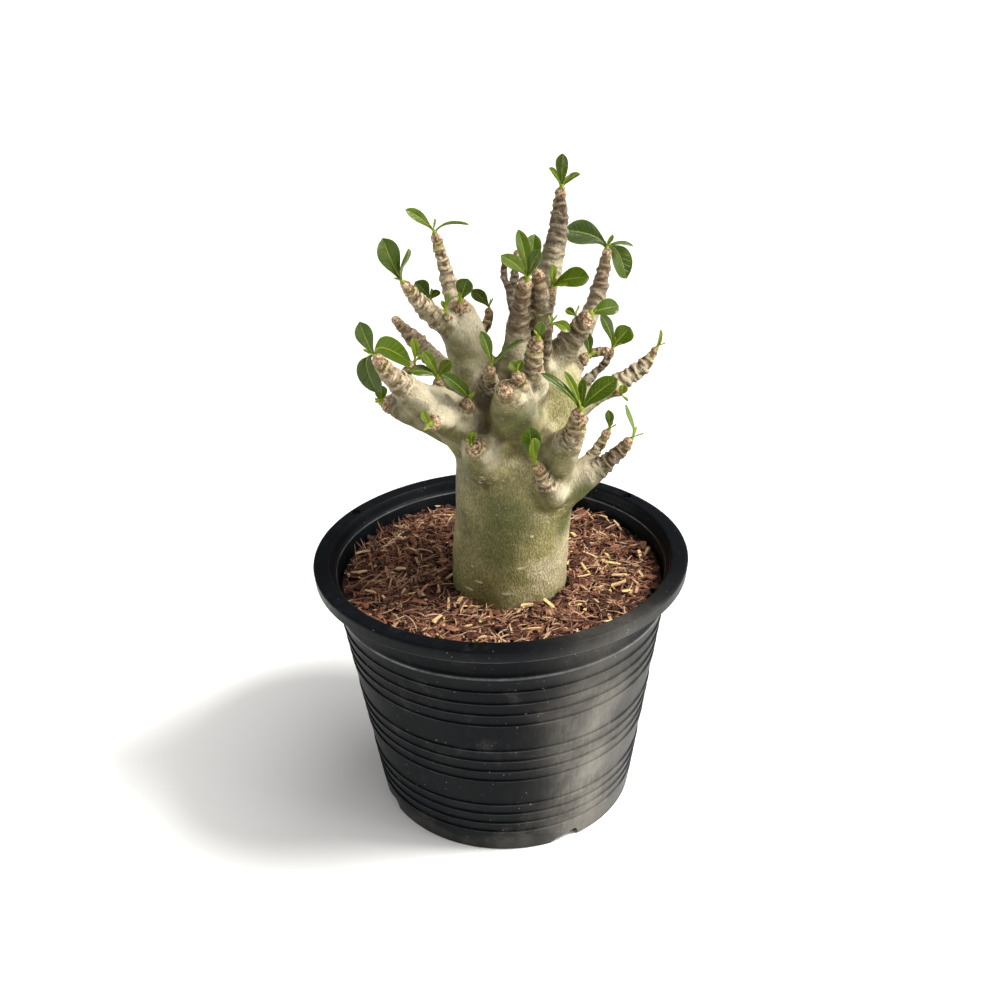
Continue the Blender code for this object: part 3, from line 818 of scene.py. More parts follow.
@dataclass
class HuskFill:
    """The fill: a lumpy bed with the trunk's hole in it, under shredded fibres, splinters, flakes and crumbs.

    Attributes:
        pot: The pot that it fills.
        trunk_centre: Where the trunk stands in it, as (x, y).
        trunk_radius: Half its thickness there.
        finish: Its husk.
        level: The height of its top.
        hole_floor: The height that the trunk's hole goes down to.
        gap: Between it and the trunk, and between it and the pot.
        sides: How many flats stand for a full turn of the bed.
        first_seed: The seed of the first kind of piece.
        stations: How many sections a piece has.
        scraps: The kinds of piece that lie on it, by name.
    """

    pot: NurseryPot
    trunk_centre: tuple[float, float]
    trunk_radius: float
    finish: HuskFinish = field(default_factory=HuskFinish)
    level: float = 163.6
    hole_floor: float = 95.0
    gap: float = 0.3
    sides: int = 300
    first_seed: int = 40
    stations: int = 5
    scraps: tuple[tuple[str, Scrap], ...] = (
        ("husk_fibres", Scrap(3000, (8, 19), (0.3, 0.85), (0.3, 0.6), (0.2, 0.8), 0.16, 22, 4.8)),
        ("husk_shreds", Scrap(1300, (5, 13), (1.0, 2.8), (0.4, 1.0), (0.15, 0.6), 0.1, 24, 3.8)),
        ("husk_splinters", Scrap(330, (6, 13), (0.9, 2.2), (0.6, 1.2), (0.66, 0.9), 0.05, 24, 5.2, 4, 0.3)),
        ("husk_chips", Scrap(44, (7, 12), (1.8, 3.4), (0.7, 1.3), (0.84, 0.97), 0.02, 18, 5.8, 4, 0.1)),
        ("husk_flakes", Scrap(460, (4, 10), (3, 6), (0.8, 2.2), (0.1, 0.54), 0.08, 26, 3.6, 6, 0.3)),
        ("husk_crumbs", Scrap(2200, (1.0, 3.2), (0.8, 2.2), (0.7, 1.8), (0.02, 0.5), 0.0, 60, 3.0, 5)),
        (
            "husk_strands",
            Scrap(34, (12, 22), (0.5, 1.2), (0.4, 0.8), (0.4, 0.8), 0.12, 75, 3.0, 4, 0.62, 0.82, (120, 178)),
        ),
    )

    def __post_init__(self) -> None:
        """Makes the noise that lifts and sinks the bed, and works out where the bed ends."""
        self.lumps = Ripple(21)
        self.edge = self.pot.inner_radius(self.level) - 1.2

    def surface(self, x: np.ndarray, y: np.ndarray) -> np.ndarray:
        """Works out the bed's height.

        Args:
            x: Each place's x.
            y: Each place's y.

        Returns:
            The height at each place.
        """
        flat = np.stack([x, y, 0 * x], -1)
        height = 1.5 * self.lumps.at(flat, 23) + 0.9 * self.lumps.at(flat + 31, 8)
        height += 0.5 * self.lumps.at(flat, 3)
        rise = smoothstep(np.hypot(x, y), self.edge - 16, self.edge)
        return self.level - 1.4 + height + 1.2 * rise

    def build_bed(self, material: bpy.types.Material) -> bpy.types.Object:
        """Makes the bed, down to the pot's floor.

        Args:
            material: Its finish.

        Returns:
            The bed.
        """
        wheel = circle(self.sides)[:, :2]
        flat = np.zeros(self.sides)
        hole = np.array(self.trunk_centre) + wheel * (self.trunk_radius + self.gap)
        floor = self.pot.floor_height + self.pot.wall + self.gap
        bottom = self.pot.inner_radius(floor) - self.gap
        rings = [(wheel * bottom, flat + floor)]
        for share in np.linspace(1, 0, 46):
            place = hole + (wheel * self.edge - hole) * share
            rings.append((place, self.surface(*place.T)))
        rings.append((hole, flat + self.hole_floor))
        points = np.array([np.column_stack([place, height]) for place, height in rings])
        traits = np.zeros_like(points)
        # The bed takes the darkest tone, as painted shade for the deep gaps between the pieces that lie on
        # it.
        traits[..., 0] = 0.1
        traits[..., 1:] = points[..., :2]
        shell = Shell()
        shell.tubes(points[None], husk=traits[None])
        return shell.build("husk_bed", material)

    def places(self, draw: np.random.Generator, scrap: Scrap, reach: np.ndarray) -> np.ndarray:
        """Spots over the bed, as far from the wall and from the trunk as each piece needs.

        Args:
            draw: The source of chance.
            scrap: The kind of piece.
            reach: How far each piece reaches from its spot.

        Returns:
            The spots' x and y.
        """
        spots = np.zeros((scrap.count, 2))
        todo = np.ones(scrap.count, bool)
        while todo.any():
            tried = draw.uniform(-self.edge, self.edge, spots.shape)
            away = np.hypot(*(tried - self.trunk_centre).T) - self.trunk_radius
            out, bearing = np.hypot(*tried.T), np.degrees(np.arctan2(tried[:, 1], tried[:, 0]))
            fits = todo & (out < self.edge - reach) & (away > 0.55 * reach + 0.4)
            first, last = scrap.bearings
            fits &= (out > scrap.inner * self.edge) & (bearing > first) & (bearing < last)
            spots[fits] = tried[fits]
            todo &= ~fits
        return spots

    def strew(self, scrap: Scrap, draw: np.random.Generator) -> tuple[np.ndarray, np.ndarray]:
        """Shapes and places every piece of one kind.

        Args:
            scrap: The kind.
            draw: The source of chance.

        Returns:
            Their rings of points, and each point's tone and place in the piece.
        """
        count, stations = scrap.count, self.stations
        sizes = (scrap.length, scrap.width, scrap.thickness)
        length, width, thickness = (draw.uniform(*size, count) for size in sizes)
        t = np.linspace(-1, 1, stations)
        bow = scrap.bow * length[:, None] * draw.uniform(-1, 1, (count, 2))
        turn = math.tau * np.arange(scrap.sides) / scrap.sides + math.pi / scrap.sides
        rough = draw.uniform(0.72, 1.15, (count, stations, scrap.sides))
        rough *= (1 - scrap.taper * t**4)[None, :, None]
        twist = turn + draw.uniform(-0.7, 0.7, count)[:, None, None] * t[None, :, None]
        rings = np.empty((count, stations, scrap.sides, 3))
        ragged = draw.uniform(-0.06, 0.06, rough.shape) * length[:, None, None]
        rings[..., 0] = (t * length[:, None] / 2)[..., None] + ragged
        curve = (1 - t * t)[None, :, None]
        rings[..., 1] = 0.7 * width[:, None, None] * rough * np.cos(twist) + curve * bow[:, 0, None, None]
        rings[..., 2] = 0.7 * thickness[:, None, None] * rough * np.sin(twist) + curve * bow[:, 1, None, None]
        traits = np.empty_like(rings)
        tone = draw.uniform(*scrap.tone, count)
        traits[..., 0] = tone[:, None, None]
        traits[..., 1] = rings[..., 0] + 50 * tone[:, None, None]
        traits[..., 2] = rings[..., 1]
        yaw, pitch = draw.uniform(0, math.tau, count), np.radians(scrap.tilt) * draw.uniform(-1, 1, count)
        if scrap.inner:
            pitch = np.radians(scrap.tilt) * draw.uniform(0.5, 1, count)
        turns = [Matrix.Rotation(a, 3, "Z") @ Matrix.Rotation(b, 3, "Y") for a, b in zip(yaw, pitch)]
        rings = np.einsum("nij,nabj->nabi", np.array(turns), rings)
        spots = self.places(draw, scrap, length / 2 * np.cos(pitch))
        height = self.surface(*spots.T) + draw.uniform(0, 1, count) ** 1.4 * scrap.lift
        rings += np.column_stack([spots, height])[:, None, None, :]
        return rings, traits

    def build(self) -> None:
        """Makes the bed and everything that lies on it."""
        material = self.finish.make()
        settle(self.build_bed(material), Slot.HUSK, "soil")
        for seed, (name, scrap) in enumerate(self.scraps):
            shell = Shell()
            rings, traits = self.strew(scrap, np.random.default_rng(self.first_seed + seed))
            shell.tubes(rings, husk=traits)
            settle(shell.build(name, material, 40), Slot.HUSK)


# Plant


class Limb(NamedTuple):
    """One limb: (x, y, z, radius) from its root to its tip, and whether it ends round, with no tuft."""

    route: tuple[tuple[float, float, float, float], ...]
    domed: bool = False


class Leaf(NamedTuple):
    """One leaf, from its bud: where its tip lies, its width, and its turn about its own line."""

    bearing: float
    rise: float
    length: float
    width: float
    turn: float


class Stain(Enum):
    """What a mark on the bark looks like, as the place of its strength in the bark's marks."""

    CREAM = 0
    BROWN = 1
    GREEN = 2


class Tone(Enum):
    """How a limb's rings are tinted, as the place of its strength in the bark's tint."""

    ROSY = 0
    DUSKY = 1


# A leaf scar, across and along the shoot, where 1 is the way from one scar to the next
SCAR_SIDES = (-0.45, 0.3)  # how far round the shoot it reaches, as a cosine
SCAR_MIDDLE = 0.75  # where along the way its own middle lies
SCAR_DROOP = 0.22  # how far its middle lies below its ends
SCAR_HALF = 0.66  # how far it reaches to each side of that

TRUNK = Limb(
    (
        (6, -9, 134, 38), (6, -9, 172, 38), (7, -9, 190, 38), (9, -9, 210, 37.5), (10, -9, 228, 38),
        (11, -9, 244, 37.5), (12, -9, 256, 34), (12, -9, 264, 26),
    ),
    True,
)

STOUT = 20.0  # a limb stouter than this is part of the head
SOFT_LIMIT = 6.5  # how widely most limbs may melt into what they grow from
SOFT = {"trunk_bud": 15.0, "front_knob": 13.0, "east_front": 10.0, "low_front": 9.0, "low_bud": 9.0}

CREASES = (  # (x, y, z, length)
    (13, -47, 192, 7), (3.4, -47, 174, 9), (-15, -42, 180, 8), (26, -43, 186, 4), (-22, -36, 172, 9),
    (-19, -39, 190, 4), (31, -38, 176, 5), (-6, -46, 203, 3), (20, -45, 214, 3), (-20, -38, 245, 4),
    (-12, -44, 251, 5), (2, -47, 248, 4),
)

MARKS = {  # (x, y, z, size, how much it is pressed flat)
    Stain.CREAM: (
        (43, -60, 289, 4.5, 1), (22, -16, 335, 7, 1), (8, -56, 308, 6, 1), (27, -20, 374, 4, 1),
        (33, -41, 240, 8, 1.3), (40, -34, 230, 9, 1.5), (26, -42, 226, 12, 1.6), (-6, -46, 256, 16, 2.2),
        (40, -48, 262, 8, 1.2), (62, -28, 256, 9, 1),
    ),
    Stain.BROWN: (
        (-13.6, -54, 278, 5, 1), (-40, -55, 295, 4.5, 1), (48, -62, 302, 5.5, 1), (6, -55, 302, 5, 1),
        (7, -60, 318, 6, 1), (-11, -51, 279, 4.5, 1), (48.5, -61, 302, 5, 1),
    ),
    # Some green marks are painted shade, the one under the front knob and the one on the trunk's right side;
    # the others are the bark's own green patches.
    Stain.GREEN: (
        (13, -50, 298, 15, 1), (24, -38, 296, 9, 1), (-20, -42, 262, 12, 1), (4, -47, 226, 21, 1),
        (-2, -46, 205, 17, 1), (12, 29, 215, 26, 1), (40, -28, 214, 13, 1), (-44, -34, 300, 9, 1),
        (52, -34, 240, 11, 1), (63, -33, 250, 8, 1), (42, -44, 233, 9, 1),
    ),
}

TINTS = {  # the limbs that each tone tints
    Tone.ROSY: (
        "west_low", "west_bare", "left_fork", "left_tall", "leader_stub", "middle", "front_middle",
        "front_knob", "back_tall", "east_front", "low_bud",
    ),
    Tone.DUSKY: (
        "west_bare", "west_under", "left_stub", "leader", "leader_stub", "leader_twig", "middle",
        "middle_back", "middle_back_bud", "right_arm", "right_stub", "back_tall", "back_short", "back_thin",
        "back_cross", "low_front",
    ),
}

LIMBS = {
    "head_left": Limb(((9, -10, 240, 33), (5, -10, 262, 28), (-3, -10, 284, 20)), True),
    "head_middle": Limb(((13, -10, 245, 33), (15, -10, 271, 28), (17, -7, 298, 20)), True),
    "head_right": Limb(((14, -10, 240, 33), (21, -10, 264, 28), (33, -5, 290, 23)), True),
    "west_shoulder": Limb(((7, -7, 240, 31), (-7, -8, 262, 21), (-28, -10, 281, 14)), True),
    "west_low": Limb((
        (-11, -22, 278, 16), (-34, -34, 296, 12.5), (-50, -42, 310.5, 8.6), (-59.5, -48, 323, 5.2),
        (-67.5, -52, 336, 2.8),
    )),
    "west_under": Limb(((-13, 6, 262, 15), (-36, 12, 271, 12.5), (-57, 16, 278, 9.5), (-72, 18, 281.5, 5.6))),
    "west_spur": Limb(((-52, -34, 310, 4.8), (-53, -30, 317, 3), (-48, -28, 324, 2.2))),
    "west_bare": Limb((
        (0, 8, 277, 14), (-16, 18, 285, 10.5), (-35, 26, 302.5, 7.4), (-49, 32, 316, 5.4),
        (-63, 36, 331.5, 2.8),
    ), True),
    "left_arm": Limb((
        (-5, -6, 289, 16.5), (-13, -6, 312, 14), (-18, -6, 333, 12.5), (-20, -5, 344, 10),
    ), True),
    "left_fork": Limb((
        (-19, -8, 336, 10), (-33, -14, 346, 7), (-43, -20, 358.5, 4.8), (-51.5, -26, 372, 2.7),
    )),
    "left_fork_spur": Limb(((-33, -6, 344, 3.8), (-37, 2, 348, 3), (-38, 5, 351.8, 2.4))),
    "left_nub": Limb(((-26, -17, 344, 3), (-27.5, -20, 351, 2))),
    "left_stub": Limb(((-19, -10, 343, 6), (-19, -12, 355, 3.9))),
    "left_tall": Limb(((-19, -2, 340, 8), (-24.3, 2, 355, 5.6), (-28.2, 6, 372, 4.4), (-33.3, 8, 392, 2.7))),
    "left_hook": Limb(((-12, 4, 327, 5), (-6.5, 8, 332, 3.4), (-2.8, 10, 338, 2.9), (-2.4, 10, 344, 2.3))),
    "left_front_twig": Limb(((-5, -16, 303, 7), (-4, -31, 312, 5), (-3, -40, 320, 2.9), (-2, -42, 325, 2.4))),
    "trunk_bud": Limb(((-8, -38, 265, 13), (-11, -49, 276, 7), (-14, -53, 280, 3.5))),
    "west_bud": Limb(((-32, -46, 294, 7.5), (-38, -56, 296, 3.5))),
    "west_stub": Limb(((-21, -34, 289, 7.8), (-16, -40, 303, 3.6))),
    "west_twig": Limb(((-34, -30, 299, 7), (-34, -30, 308, 3.9), (-34, -30, 314, 2.9))),
    "leader": Limb((
        (22, 0, 307, 15), (25.5, 2, 332, 9), (30.7, 4, 352, 8.3), (37, 8, 377, 7.3), (40.9, 10, 396, 5.3),
        (42.7, 12, 415, 3.2),
    )),
    "middle": Limb((
        (13, -12, 311, 13.5), (15, -14, 332, 7.2), (15.5, -16, 346, 5.8), (17.5, -20, 360, 4.5),
        (20, -24, 371, 3.5),
    )),
    "middle_back": Limb(((13, -13, 334, 5), (12, 6, 353, 3), (8, 12, 362, 2.4), (8, 14, 373, 2)), True),
    "middle_back_bud": Limb(((12, 6, 350, 3.6), (14, 20, 360, 2.8), (16, 26, 374, 2.5)), True),
    "leader_stub": Limb(((28, -6, 341, 7.2), (28, -16, 361, 4.6), (27, -20, 373, 3.6)), True),
    "leader_twig": Limb(((29.5, -5, 335, 5), (32.5, -12, 350, 3.7), (35, -15, 363, 2.6))),
    "front_knob": Limb(((12, -32, 288, 17), (9, -54, 309, 10), (7, -60, 316, 5.7)), True),
    "front_twig": Limb(((14, -48, 307, 8), (14, -58, 320, 4.6), (13, -60, 326, 3.2))),
    "front_middle": Limb(((21, -32, 309, 10.5), (22, -42, 326, 5.8), (25, -48, 342, 3.7))),
    "right_arm": Limb(((31, -8, 307, 13.5), (41, -10, 322, 9), (50, -12, 334, 7.2), (57, -14, 345, 5))),
    "right_stub": Limb(((31, -18, 316, 5), (31.5, -23, 331, 3), (34, -25, 343.5, 2.2))),
    "right_nub": Limb(((51, -6, 334, 3.6), (50.5, 0, 340, 2))),
    "back_tall": Limb((
        (38, 22, 288, 14), (50, 34, 306, 9), (61.2, 40, 326, 6.2), (68.7, 44, 345, 5), (72.2, 46, 360, 3.8),
        (73.6, 48, 370, 2.8),
    )),
    "back_short": Limb(((41, 12, 293, 12), (52, 18, 303, 6), (59, 20, 308, 3.3))),
    "back_thin": Limb(((45, 22, 279, 9.5), (62, 36, 288, 4), (72, 40, 295, 3.2), (77.5, 42, 305, 2.6))),
    "back_cross": Limb(((50, 27, 300, 4.4), (61, 35, 305, 3.3), (75, 41, 304.5, 2.8))),
    "east_long": Limb((
        (38, 8, 270, 13.5), (58, 20, 278.5, 8.5), (76, 26, 285.5, 6.8), (94, 30, 295, 5.2),
        (105.5, 34, 307.5, 2.6),
    )),
    "east_nub": Limb(((78.5, 21, 284.5, 4.4), (80.5, 15, 284, 2.4))),
    "east_front": Limb((
        (31, -34, 256, 15), (39, -48, 274, 10.7), (45, -56, 286, 7), (47.5, -60, 296, 5.8),
        (48.5, -61, 302, 4.8),
    )),
    "low_front": Limb((
        (36, -24, 235, 14.5), (53, -28, 246, 10), (66, -28, 254, 6), (76, -28, 263, 4.2),
        (82.2, -28, 270, 3),
    )),
    "low_twig": Limb(((53, -25, 249, 7), (60.5, -20, 258, 4), (65.5, -18, 265, 3.1), (69.5, -17, 272, 2.7))),
    "low_bud": Limb(((33, -42, 240, 9), (28, -52, 255, 4.8), (23, -57, 269, 3.3))),
}

TUFTS = {
    "west_low": (Leaf(-145, 70, 23, 10, -115), Leaf(52, -22, 32, 17, 58), Leaf(98, -66, 29, 13, -170)),
    "west_under": (Leaf(95, 75, 11, 8, 0),),
    "west_spur": (Leaf(95, 80, 14, 6, 30),),
    "left_fork": (Leaf(-168, 70, 27, 13, -85), Leaf(-25, 71, 20, 13, -165)),
    "left_fork_spur": (Leaf(165, 52, 14, 10, -50), Leaf(20, 35, 8, 5, 40)),
    "left_nub": (Leaf(0, 80, 11, 4, 145),),
    "left_stub": (Leaf(15, 70, 14, 11, 55),),
    "left_tall": (Leaf(-165, 42, 22, 7, -65), Leaf(20, 7, 22, 5, -25)),
    "left_hook": (Leaf(-170, 50, 16, 8, -95),),
    "left_front_twig": (Leaf(-160, 75, 22, 7, -85), Leaf(10, 35, 24, 9, -5)),
    "trunk_bud": (Leaf(-75, 75, 11, 6, 165),),
    "west_bud": (Leaf(-150, 65, 10, 5, -105),),
    "west_stub": (Leaf(-165, 50, 24, 8, -60), Leaf(160, 60, 14, 6, -50)),
    "west_twig": (Leaf(180, 65, 19, 7, -55), Leaf(-165, 20, 18, 8, -40), Leaf(-15, 50, 14, 8, 65)),
    "leader": (Leaf(75, 85, 19, 8, -10), Leaf(-150, 55, 15, 5, -55), Leaf(25, 30, 14, 6, 15)),
    "middle": (
        Leaf(-165, 44, 21, 8, -85), Leaf(150, 80, 28, 8, -45), Leaf(-20, 65, 19, 8, 75),
        Leaf(65, 60, 26, 10, 20),
    ),
    "leader_twig": (Leaf(-80, 80, 14, 6, -145), Leaf(-15, 16, 23, 13, 50), Leaf(-35, 15, 11, 6, 25)),
    "front_twig": (Leaf(-150, 60, 9, 5, -105), Leaf(20, 70, 8, 5, 60)),
    "front_middle": (Leaf(-45, 75, 11, 6, 125),),
    "right_arm": (Leaf(15, 10, 19, 11, 50),),
    "right_stub": (Leaf(-25, -15, 12, 7, 35),),
    "right_nub": (Leaf(150, 30, 8, 5, -55),),
    "back_tall": (
        Leaf(-172, 24, 31, 16, -70), Leaf(0, 65, 9, 4, 125), Leaf(15, 0, 18, 6, 10),
        Leaf(0, -57, 24, 14, 70),
    ),
    "back_short": (Leaf(150, 80, 17, 7, -60),),
    "back_thin": (Leaf(-160, 70, 26, 8, -75), Leaf(20, 45, 18, 13, 60)),
    "east_long": (Leaf(0, 80, 12, 4, 135),),
    "east_nub": (Leaf(-60, 70, 8, 6, 145),),
    "east_front": (
        Leaf(170, 45, 32, 6, -30), Leaf(145, 65, 25, 5, -25), Leaf(75, 65, 19, 6, -25),
        Leaf(10, 40, 28, 12, 50),
    ),
    "low_front": (Leaf(-140, 75, 25, 7, 125),),
    "low_twig": (Leaf(180, 88, 13, 5.6, -90),),
    "low_bud": (Leaf(-155, 80, 24, 12, -110), Leaf(-100, 65, 21, 8, -135)),
}


class BarkReading:
    """What the bark is like at each spot: the mesh's own traits, and the noises that the finish shares."""

    def __init__(self, bench: Bench) -> None:
        """Adds the nodes that read it.

        Args:
            bench: The material's bench.
        """
        self.bench = bench
        self.count, self.ringed, self.left = bench.trait("rings")
        self.cosine, self.sine, self.girth = bench.trait("turn")
        self.rosy, self.dusky, self.bleach_and_light = bench.trait("tint")
        self.cream, self.brown, self.fresh = bench.trait("marks")
        self.furrowed, self.high, self.hollow = bench.trait("surface_shape")
        self.spot = bench.place()
        self.fine = bench.noise(self.spot, 1.3, 3, 0.65)
        self.stipple = bench.fit(bench.noise(bench.place((1, 1, 0.42)), 0.85, 2, 0.6), 0.36, 0.7)
        self.patches = bench.noise(self.spot, 8, 4, 0.6)
        self.clouds = bench.noise(self.spot, 34, 3, 0.5)
        self.streaks = bench.noise(bench.place((1, 1, 0.14)), 1.7, 2, 0.6)
        self.age = bench.fit(self.girth + 6 * (self.patches - 0.5), 7, 19)


@dataclass(frozen=True)
class BarkFinish:
    """Stippled olive-tan bark, paler towards cream where it faces the light, from sun bleaching and painted
    light, with ringed shoots.

    Attributes:
        green: The trunk's live green, also laid by the green marks that paint shade.
        shaded: Painted shade: bark that faces down, away from the light, and never bleaches.
        olive: The trunk's darker tone, and painted shade where it faces away from the light.
        tan: The trunk's paler tone, and painted light where it faces the light.
        ash: The limbs' darker bark.
        bone: The limbs' palest bark, sun bleaching and painted light together, and the scars.
        crest: A ring's ridge.
        furrow: Between two such ridges.
        rosy_crest: A ring's ridge on a rosy shoot.
        rosy_furrow: Between two of those.
        young_crest: A ring's ridge next to the leaves.
        young_furrow: Between two of those.
        rust: A fresh brown scar.
        crease_tone: A pale crease in the trunk.
        crease_height: Half its height.
    """

    green: Colour = (0.1, 0.115, 0.035)
    shaded: Colour = (0.085, 0.072, 0.03)
    olive: Colour = (0.168, 0.156, 0.06)
    tan: Colour = (0.315, 0.286, 0.134)
    ash: Colour = (0.25, 0.222, 0.14)
    bone: Colour = (0.54, 0.48, 0.35)
    crest: Colour = (0.5, 0.415, 0.28)
    furrow: Colour = (0.07, 0.038, 0.019)
    rosy_crest: Colour = (0.56, 0.45, 0.29)
    rosy_furrow: Colour = (0.12, 0.064, 0.031)
    young_crest: Colour = (0.4, 0.33, 0.13)
    young_furrow: Colour = (0.12, 0.085, 0.022)
    rust: Colour = (0.27, 0.145, 0.075)
    crease_tone: Colour = (0.72, 0.66, 0.47)
    crease_height: float = 1.05

    def make(self) -> bpy.types.Material:
        """Makes the material.

        Returns:
            The bark.
        """
        at = BarkReading(Bench("adenium_bark"))
        bench = at.bench
        wood = self.smooth(at)
        crest = self.scars(bench, at.count + 0.7 * (at.patches - 0.5), at.cosine, at.sine)
        young = 0.75 - bench.fit(at.left + 6 * (at.patches - 0.5), 3, 12, 0, 0.75)
        worn = at.ringed * bench.fit(at.patches + 0.5 * young, 0.3, 0.52, 0.35, 1)
        paint = bench.mix(worn, wood, self.ringed(at, crest, young))
        grain = bench.bump(at.fine, 0.4, bench.bump(at.stipple, 0.16, bench.bump(at.streaks, 0.2)))
        scaly = bench.bump(bench.noise(at.spot, 3.4, 3, 0.6) * (1 - 0.7 * at.age), 0.9, grain)
        return bench.finish(
            Base_Color=self.stained(at, paint),
            Roughness=0.66 - 0.2 * at.fine + 0.1 * at.ringed,
            Normal=bench.bump(crest * worn, 0.9, scaly),
            Specular_IOR_Level=0.3,
        )

    def smooth(self, at: BarkReading) -> Signal:
        """Paints the bark of the trunk and of the limbs' smooth stretches.

        Args:
            at: What the bark is like at each spot.

        Returns:
            The colour.
        """
        bench = at.bench
        height = bench.node("SeparateXYZ", {}, {"Vector": at.spot}, "Z")
        # Painted light and shade: the trunk is paler where it faces the light and darker where it faces away,
        # partly sun bleaching; it is also paler low down and where thin, and the rest of its tone is noise.
        trunk = bench.ramp(
            at.clouds + 0.58 * (at.bleach_and_light - 0.5) + 0.3 * (at.patches - 0.5) + 0.2 * (at.streaks - 0.5)
            + 0.08 * bench.fit(at.girth, 26, 10) + 0.13 * bench.fit(height, 226, 176),
            (0.16, self.shaded), (0.34, self.olive), (0.68, self.tan), (1.0, self.bone),
        )
        # Painted light and shade on the limbs likewise, paler where they face the light, with raised lumps a
        # little paler.
        limb = bench.ramp(
            0.6 * at.patches + 0.55 * at.bleach_and_light + 0.12 * at.high + 0.08 * bench.fit(at.girth, 12, 4),
            (0.26, self.shaded), (0.42, self.olive), (0.58, self.ash), (0.82, self.bone),
        )
        wood = bench.mix(at.age, limb, trunk)
        # Green marks: the bark's own green patches, and painted shade where some of them sit.
        wood = bench.mix(0.8 * at.fresh * bench.fit(at.patches, 0.25, 0.55, 0.5, 1), wood, self.green)
        shade = bench.mix(at.stipple, (0.68, 0.66, 0.57), (1.38, 1.36, 1.22))
        wood = bench.mix(bench.fit(at.girth, 11, 28, 0.35, 0.95), wood, shade, Blend.MULTIPLY)
        flaky = bench.noise(bench.place((0.55, 0.55, 1.6)), 2.0, 2, 0.7) + 0.12 * at.cream
        wood = bench.mix(0.65 * bench.fit(flaky, 0.64, 0.74), wood, self.bone)
        pits = bench.fit(bench.noise(at.spot, 2.6, 1), 0.69, 0.77) * (1 - 0.8 * at.age)
        wood = self.crease(bench, at.spot, bench.mix(0.8 * pits, wood, self.furrow))
        # Painted shade: broad hollows, crotches and creases darken towards the furrow colour.
        hollow_shade = bench.fit(at.hollow + 0.03 * (at.patches - 0.5), 0.012, 0.055)
        return bench.mix(0.7 * hollow_shade, wood, self.furrow)

    def ringed(self, at: BarkReading, crest: Value, young: Signal) -> Signal:
        """Paints the rings of leaf scars.

        Args:
            at: What the bark is like at each spot.
            crest: How high the leaf scars stand.
            young: How near the leaves the spot is.

        Returns:
            The colour.
        """
        bench = at.bench
        # The scars' ridge and gap colours are their own pale crests and dark furrows, also a painted
        # highlight on the crests and painted shade between them.
        lit = bench.fit(crest + 0.8 * (at.fine - 0.5) + 0.5 * (at.patches - 0.5), 0.1, 0.66)
        ridges = bench.mix(at.rosy, self.crest, self.rosy_crest)
        # Painted shade: scar ridges that face away from the light turn ash.
        ridges = bench.mix(bench.fit(at.bleach_and_light, 0.9, 0.15, 0, 0.75), ridges, self.ash)
        ridges = bench.mix(0.62 * at.dusky, ridges, self.furrow)
        ridges = bench.mix(young * (1 - 0.6 * at.dusky), ridges, self.young_crest)
        gaps = bench.mix(at.rosy, self.furrow, self.rosy_furrow)
        gaps = bench.mix(young * (1 - at.dusky), gaps, self.young_furrow)
        gaps = bench.mix(bench.fit(bench.noise(at.spot, 4.5, 2), 0.42, 0.62, 0, 0.7), gaps, ridges)
        rings = bench.mix(lit, gaps, ridges)
        # Painted shade: the fine hollows between scars darken towards the furrow colour.
        return bench.mix(0.8 * bench.fit(at.furrowed, 0.03, 0.14), rings, self.furrow)

    def stained(self, at: BarkReading, paint: Signal) -> Signal:
        """Crusts over the shoots' tips and the brown scars.

        Args:
            at: What the bark is like at each spot.
            paint: The bark's colour.

        Returns:
            The bark's colour with the crusts.
        """
        bench = at.bench
        crusty = bench.noise(at.spot, 1.9, 2, 0.7) - 0.5
        crust = bench.ramp(crusty + 0.5, (0.34, self.furrow), (0.46, self.rust), (0.62, self.rosy_crest))
        tips = bench.fit(at.left + 7 * crusty, 3.2, 1.4) * bench.fit(at.girth, 9, 7)
        paint = bench.mix(tips, paint, crust)
        return bench.mix(0.9 * bench.fit(at.brown + 1.6 * crusty, 0.42, 0.72), paint, crust)

    def crease(self, bench: Bench, spot: Signal, paint: Signal) -> Signal:
        """Draws the short level creases round the trunk's foot.

        Args:
            bench: The material's bench.
            spot: The spot on the bark.
            paint: The bark's colour.

        Returns:
            The bark's colour with the creases.
        """
        wobble = 0.9 * (bench.noise(spot, 4, 1) - 0.5)
        for *middle, length in CREASES:
            away = bench.vector("SUBTRACT", spot, middle)
            away = bench.vector("MULTIPLY", away, (2 / length, 2 / length, 1 / self.crease_height))
            away = bench.vector("LENGTH", away, output="Value")
            paint = bench.mix(0.85 * bench.fit(away + wobble, 1.1, 0.5), paint, self.crease_tone)
        return paint

    @staticmethod
    def scars(bench: Bench, count: Value, cosine: Value, sine: Value) -> Value:
        """Lays a raised crescent for each leaf scar of a shoot, one after another round it.

        Args:
            bench: The material's bench.
            count: The rings up to here.
            cosine: The side of the shoot that this is on.
            sine: The same, a quarter turn on.

        Returns:
            How high the tallest crescent stands here, from 0 to 1.
        """
        tallest = 0.0
        for step in (-1, 0, 1):
            ring = bench.maths("FLOOR", count) + step
            turn = GOLDEN_ANGLE * ring
            facing = cosine * bench.maths("COSINE", turn) + sine * bench.maths("SINE", turn)
            off = bench.maths("ABSOLUTE", count - ring - SCAR_MIDDLE + SCAR_DROOP * facing)
            crescent = bench.fit(facing, *SCAR_SIDES) * bench.fit(off, SCAR_HALF, 0.2)
            tallest = bench.maths("MAXIMUM", tallest, crescent)
        return tallest


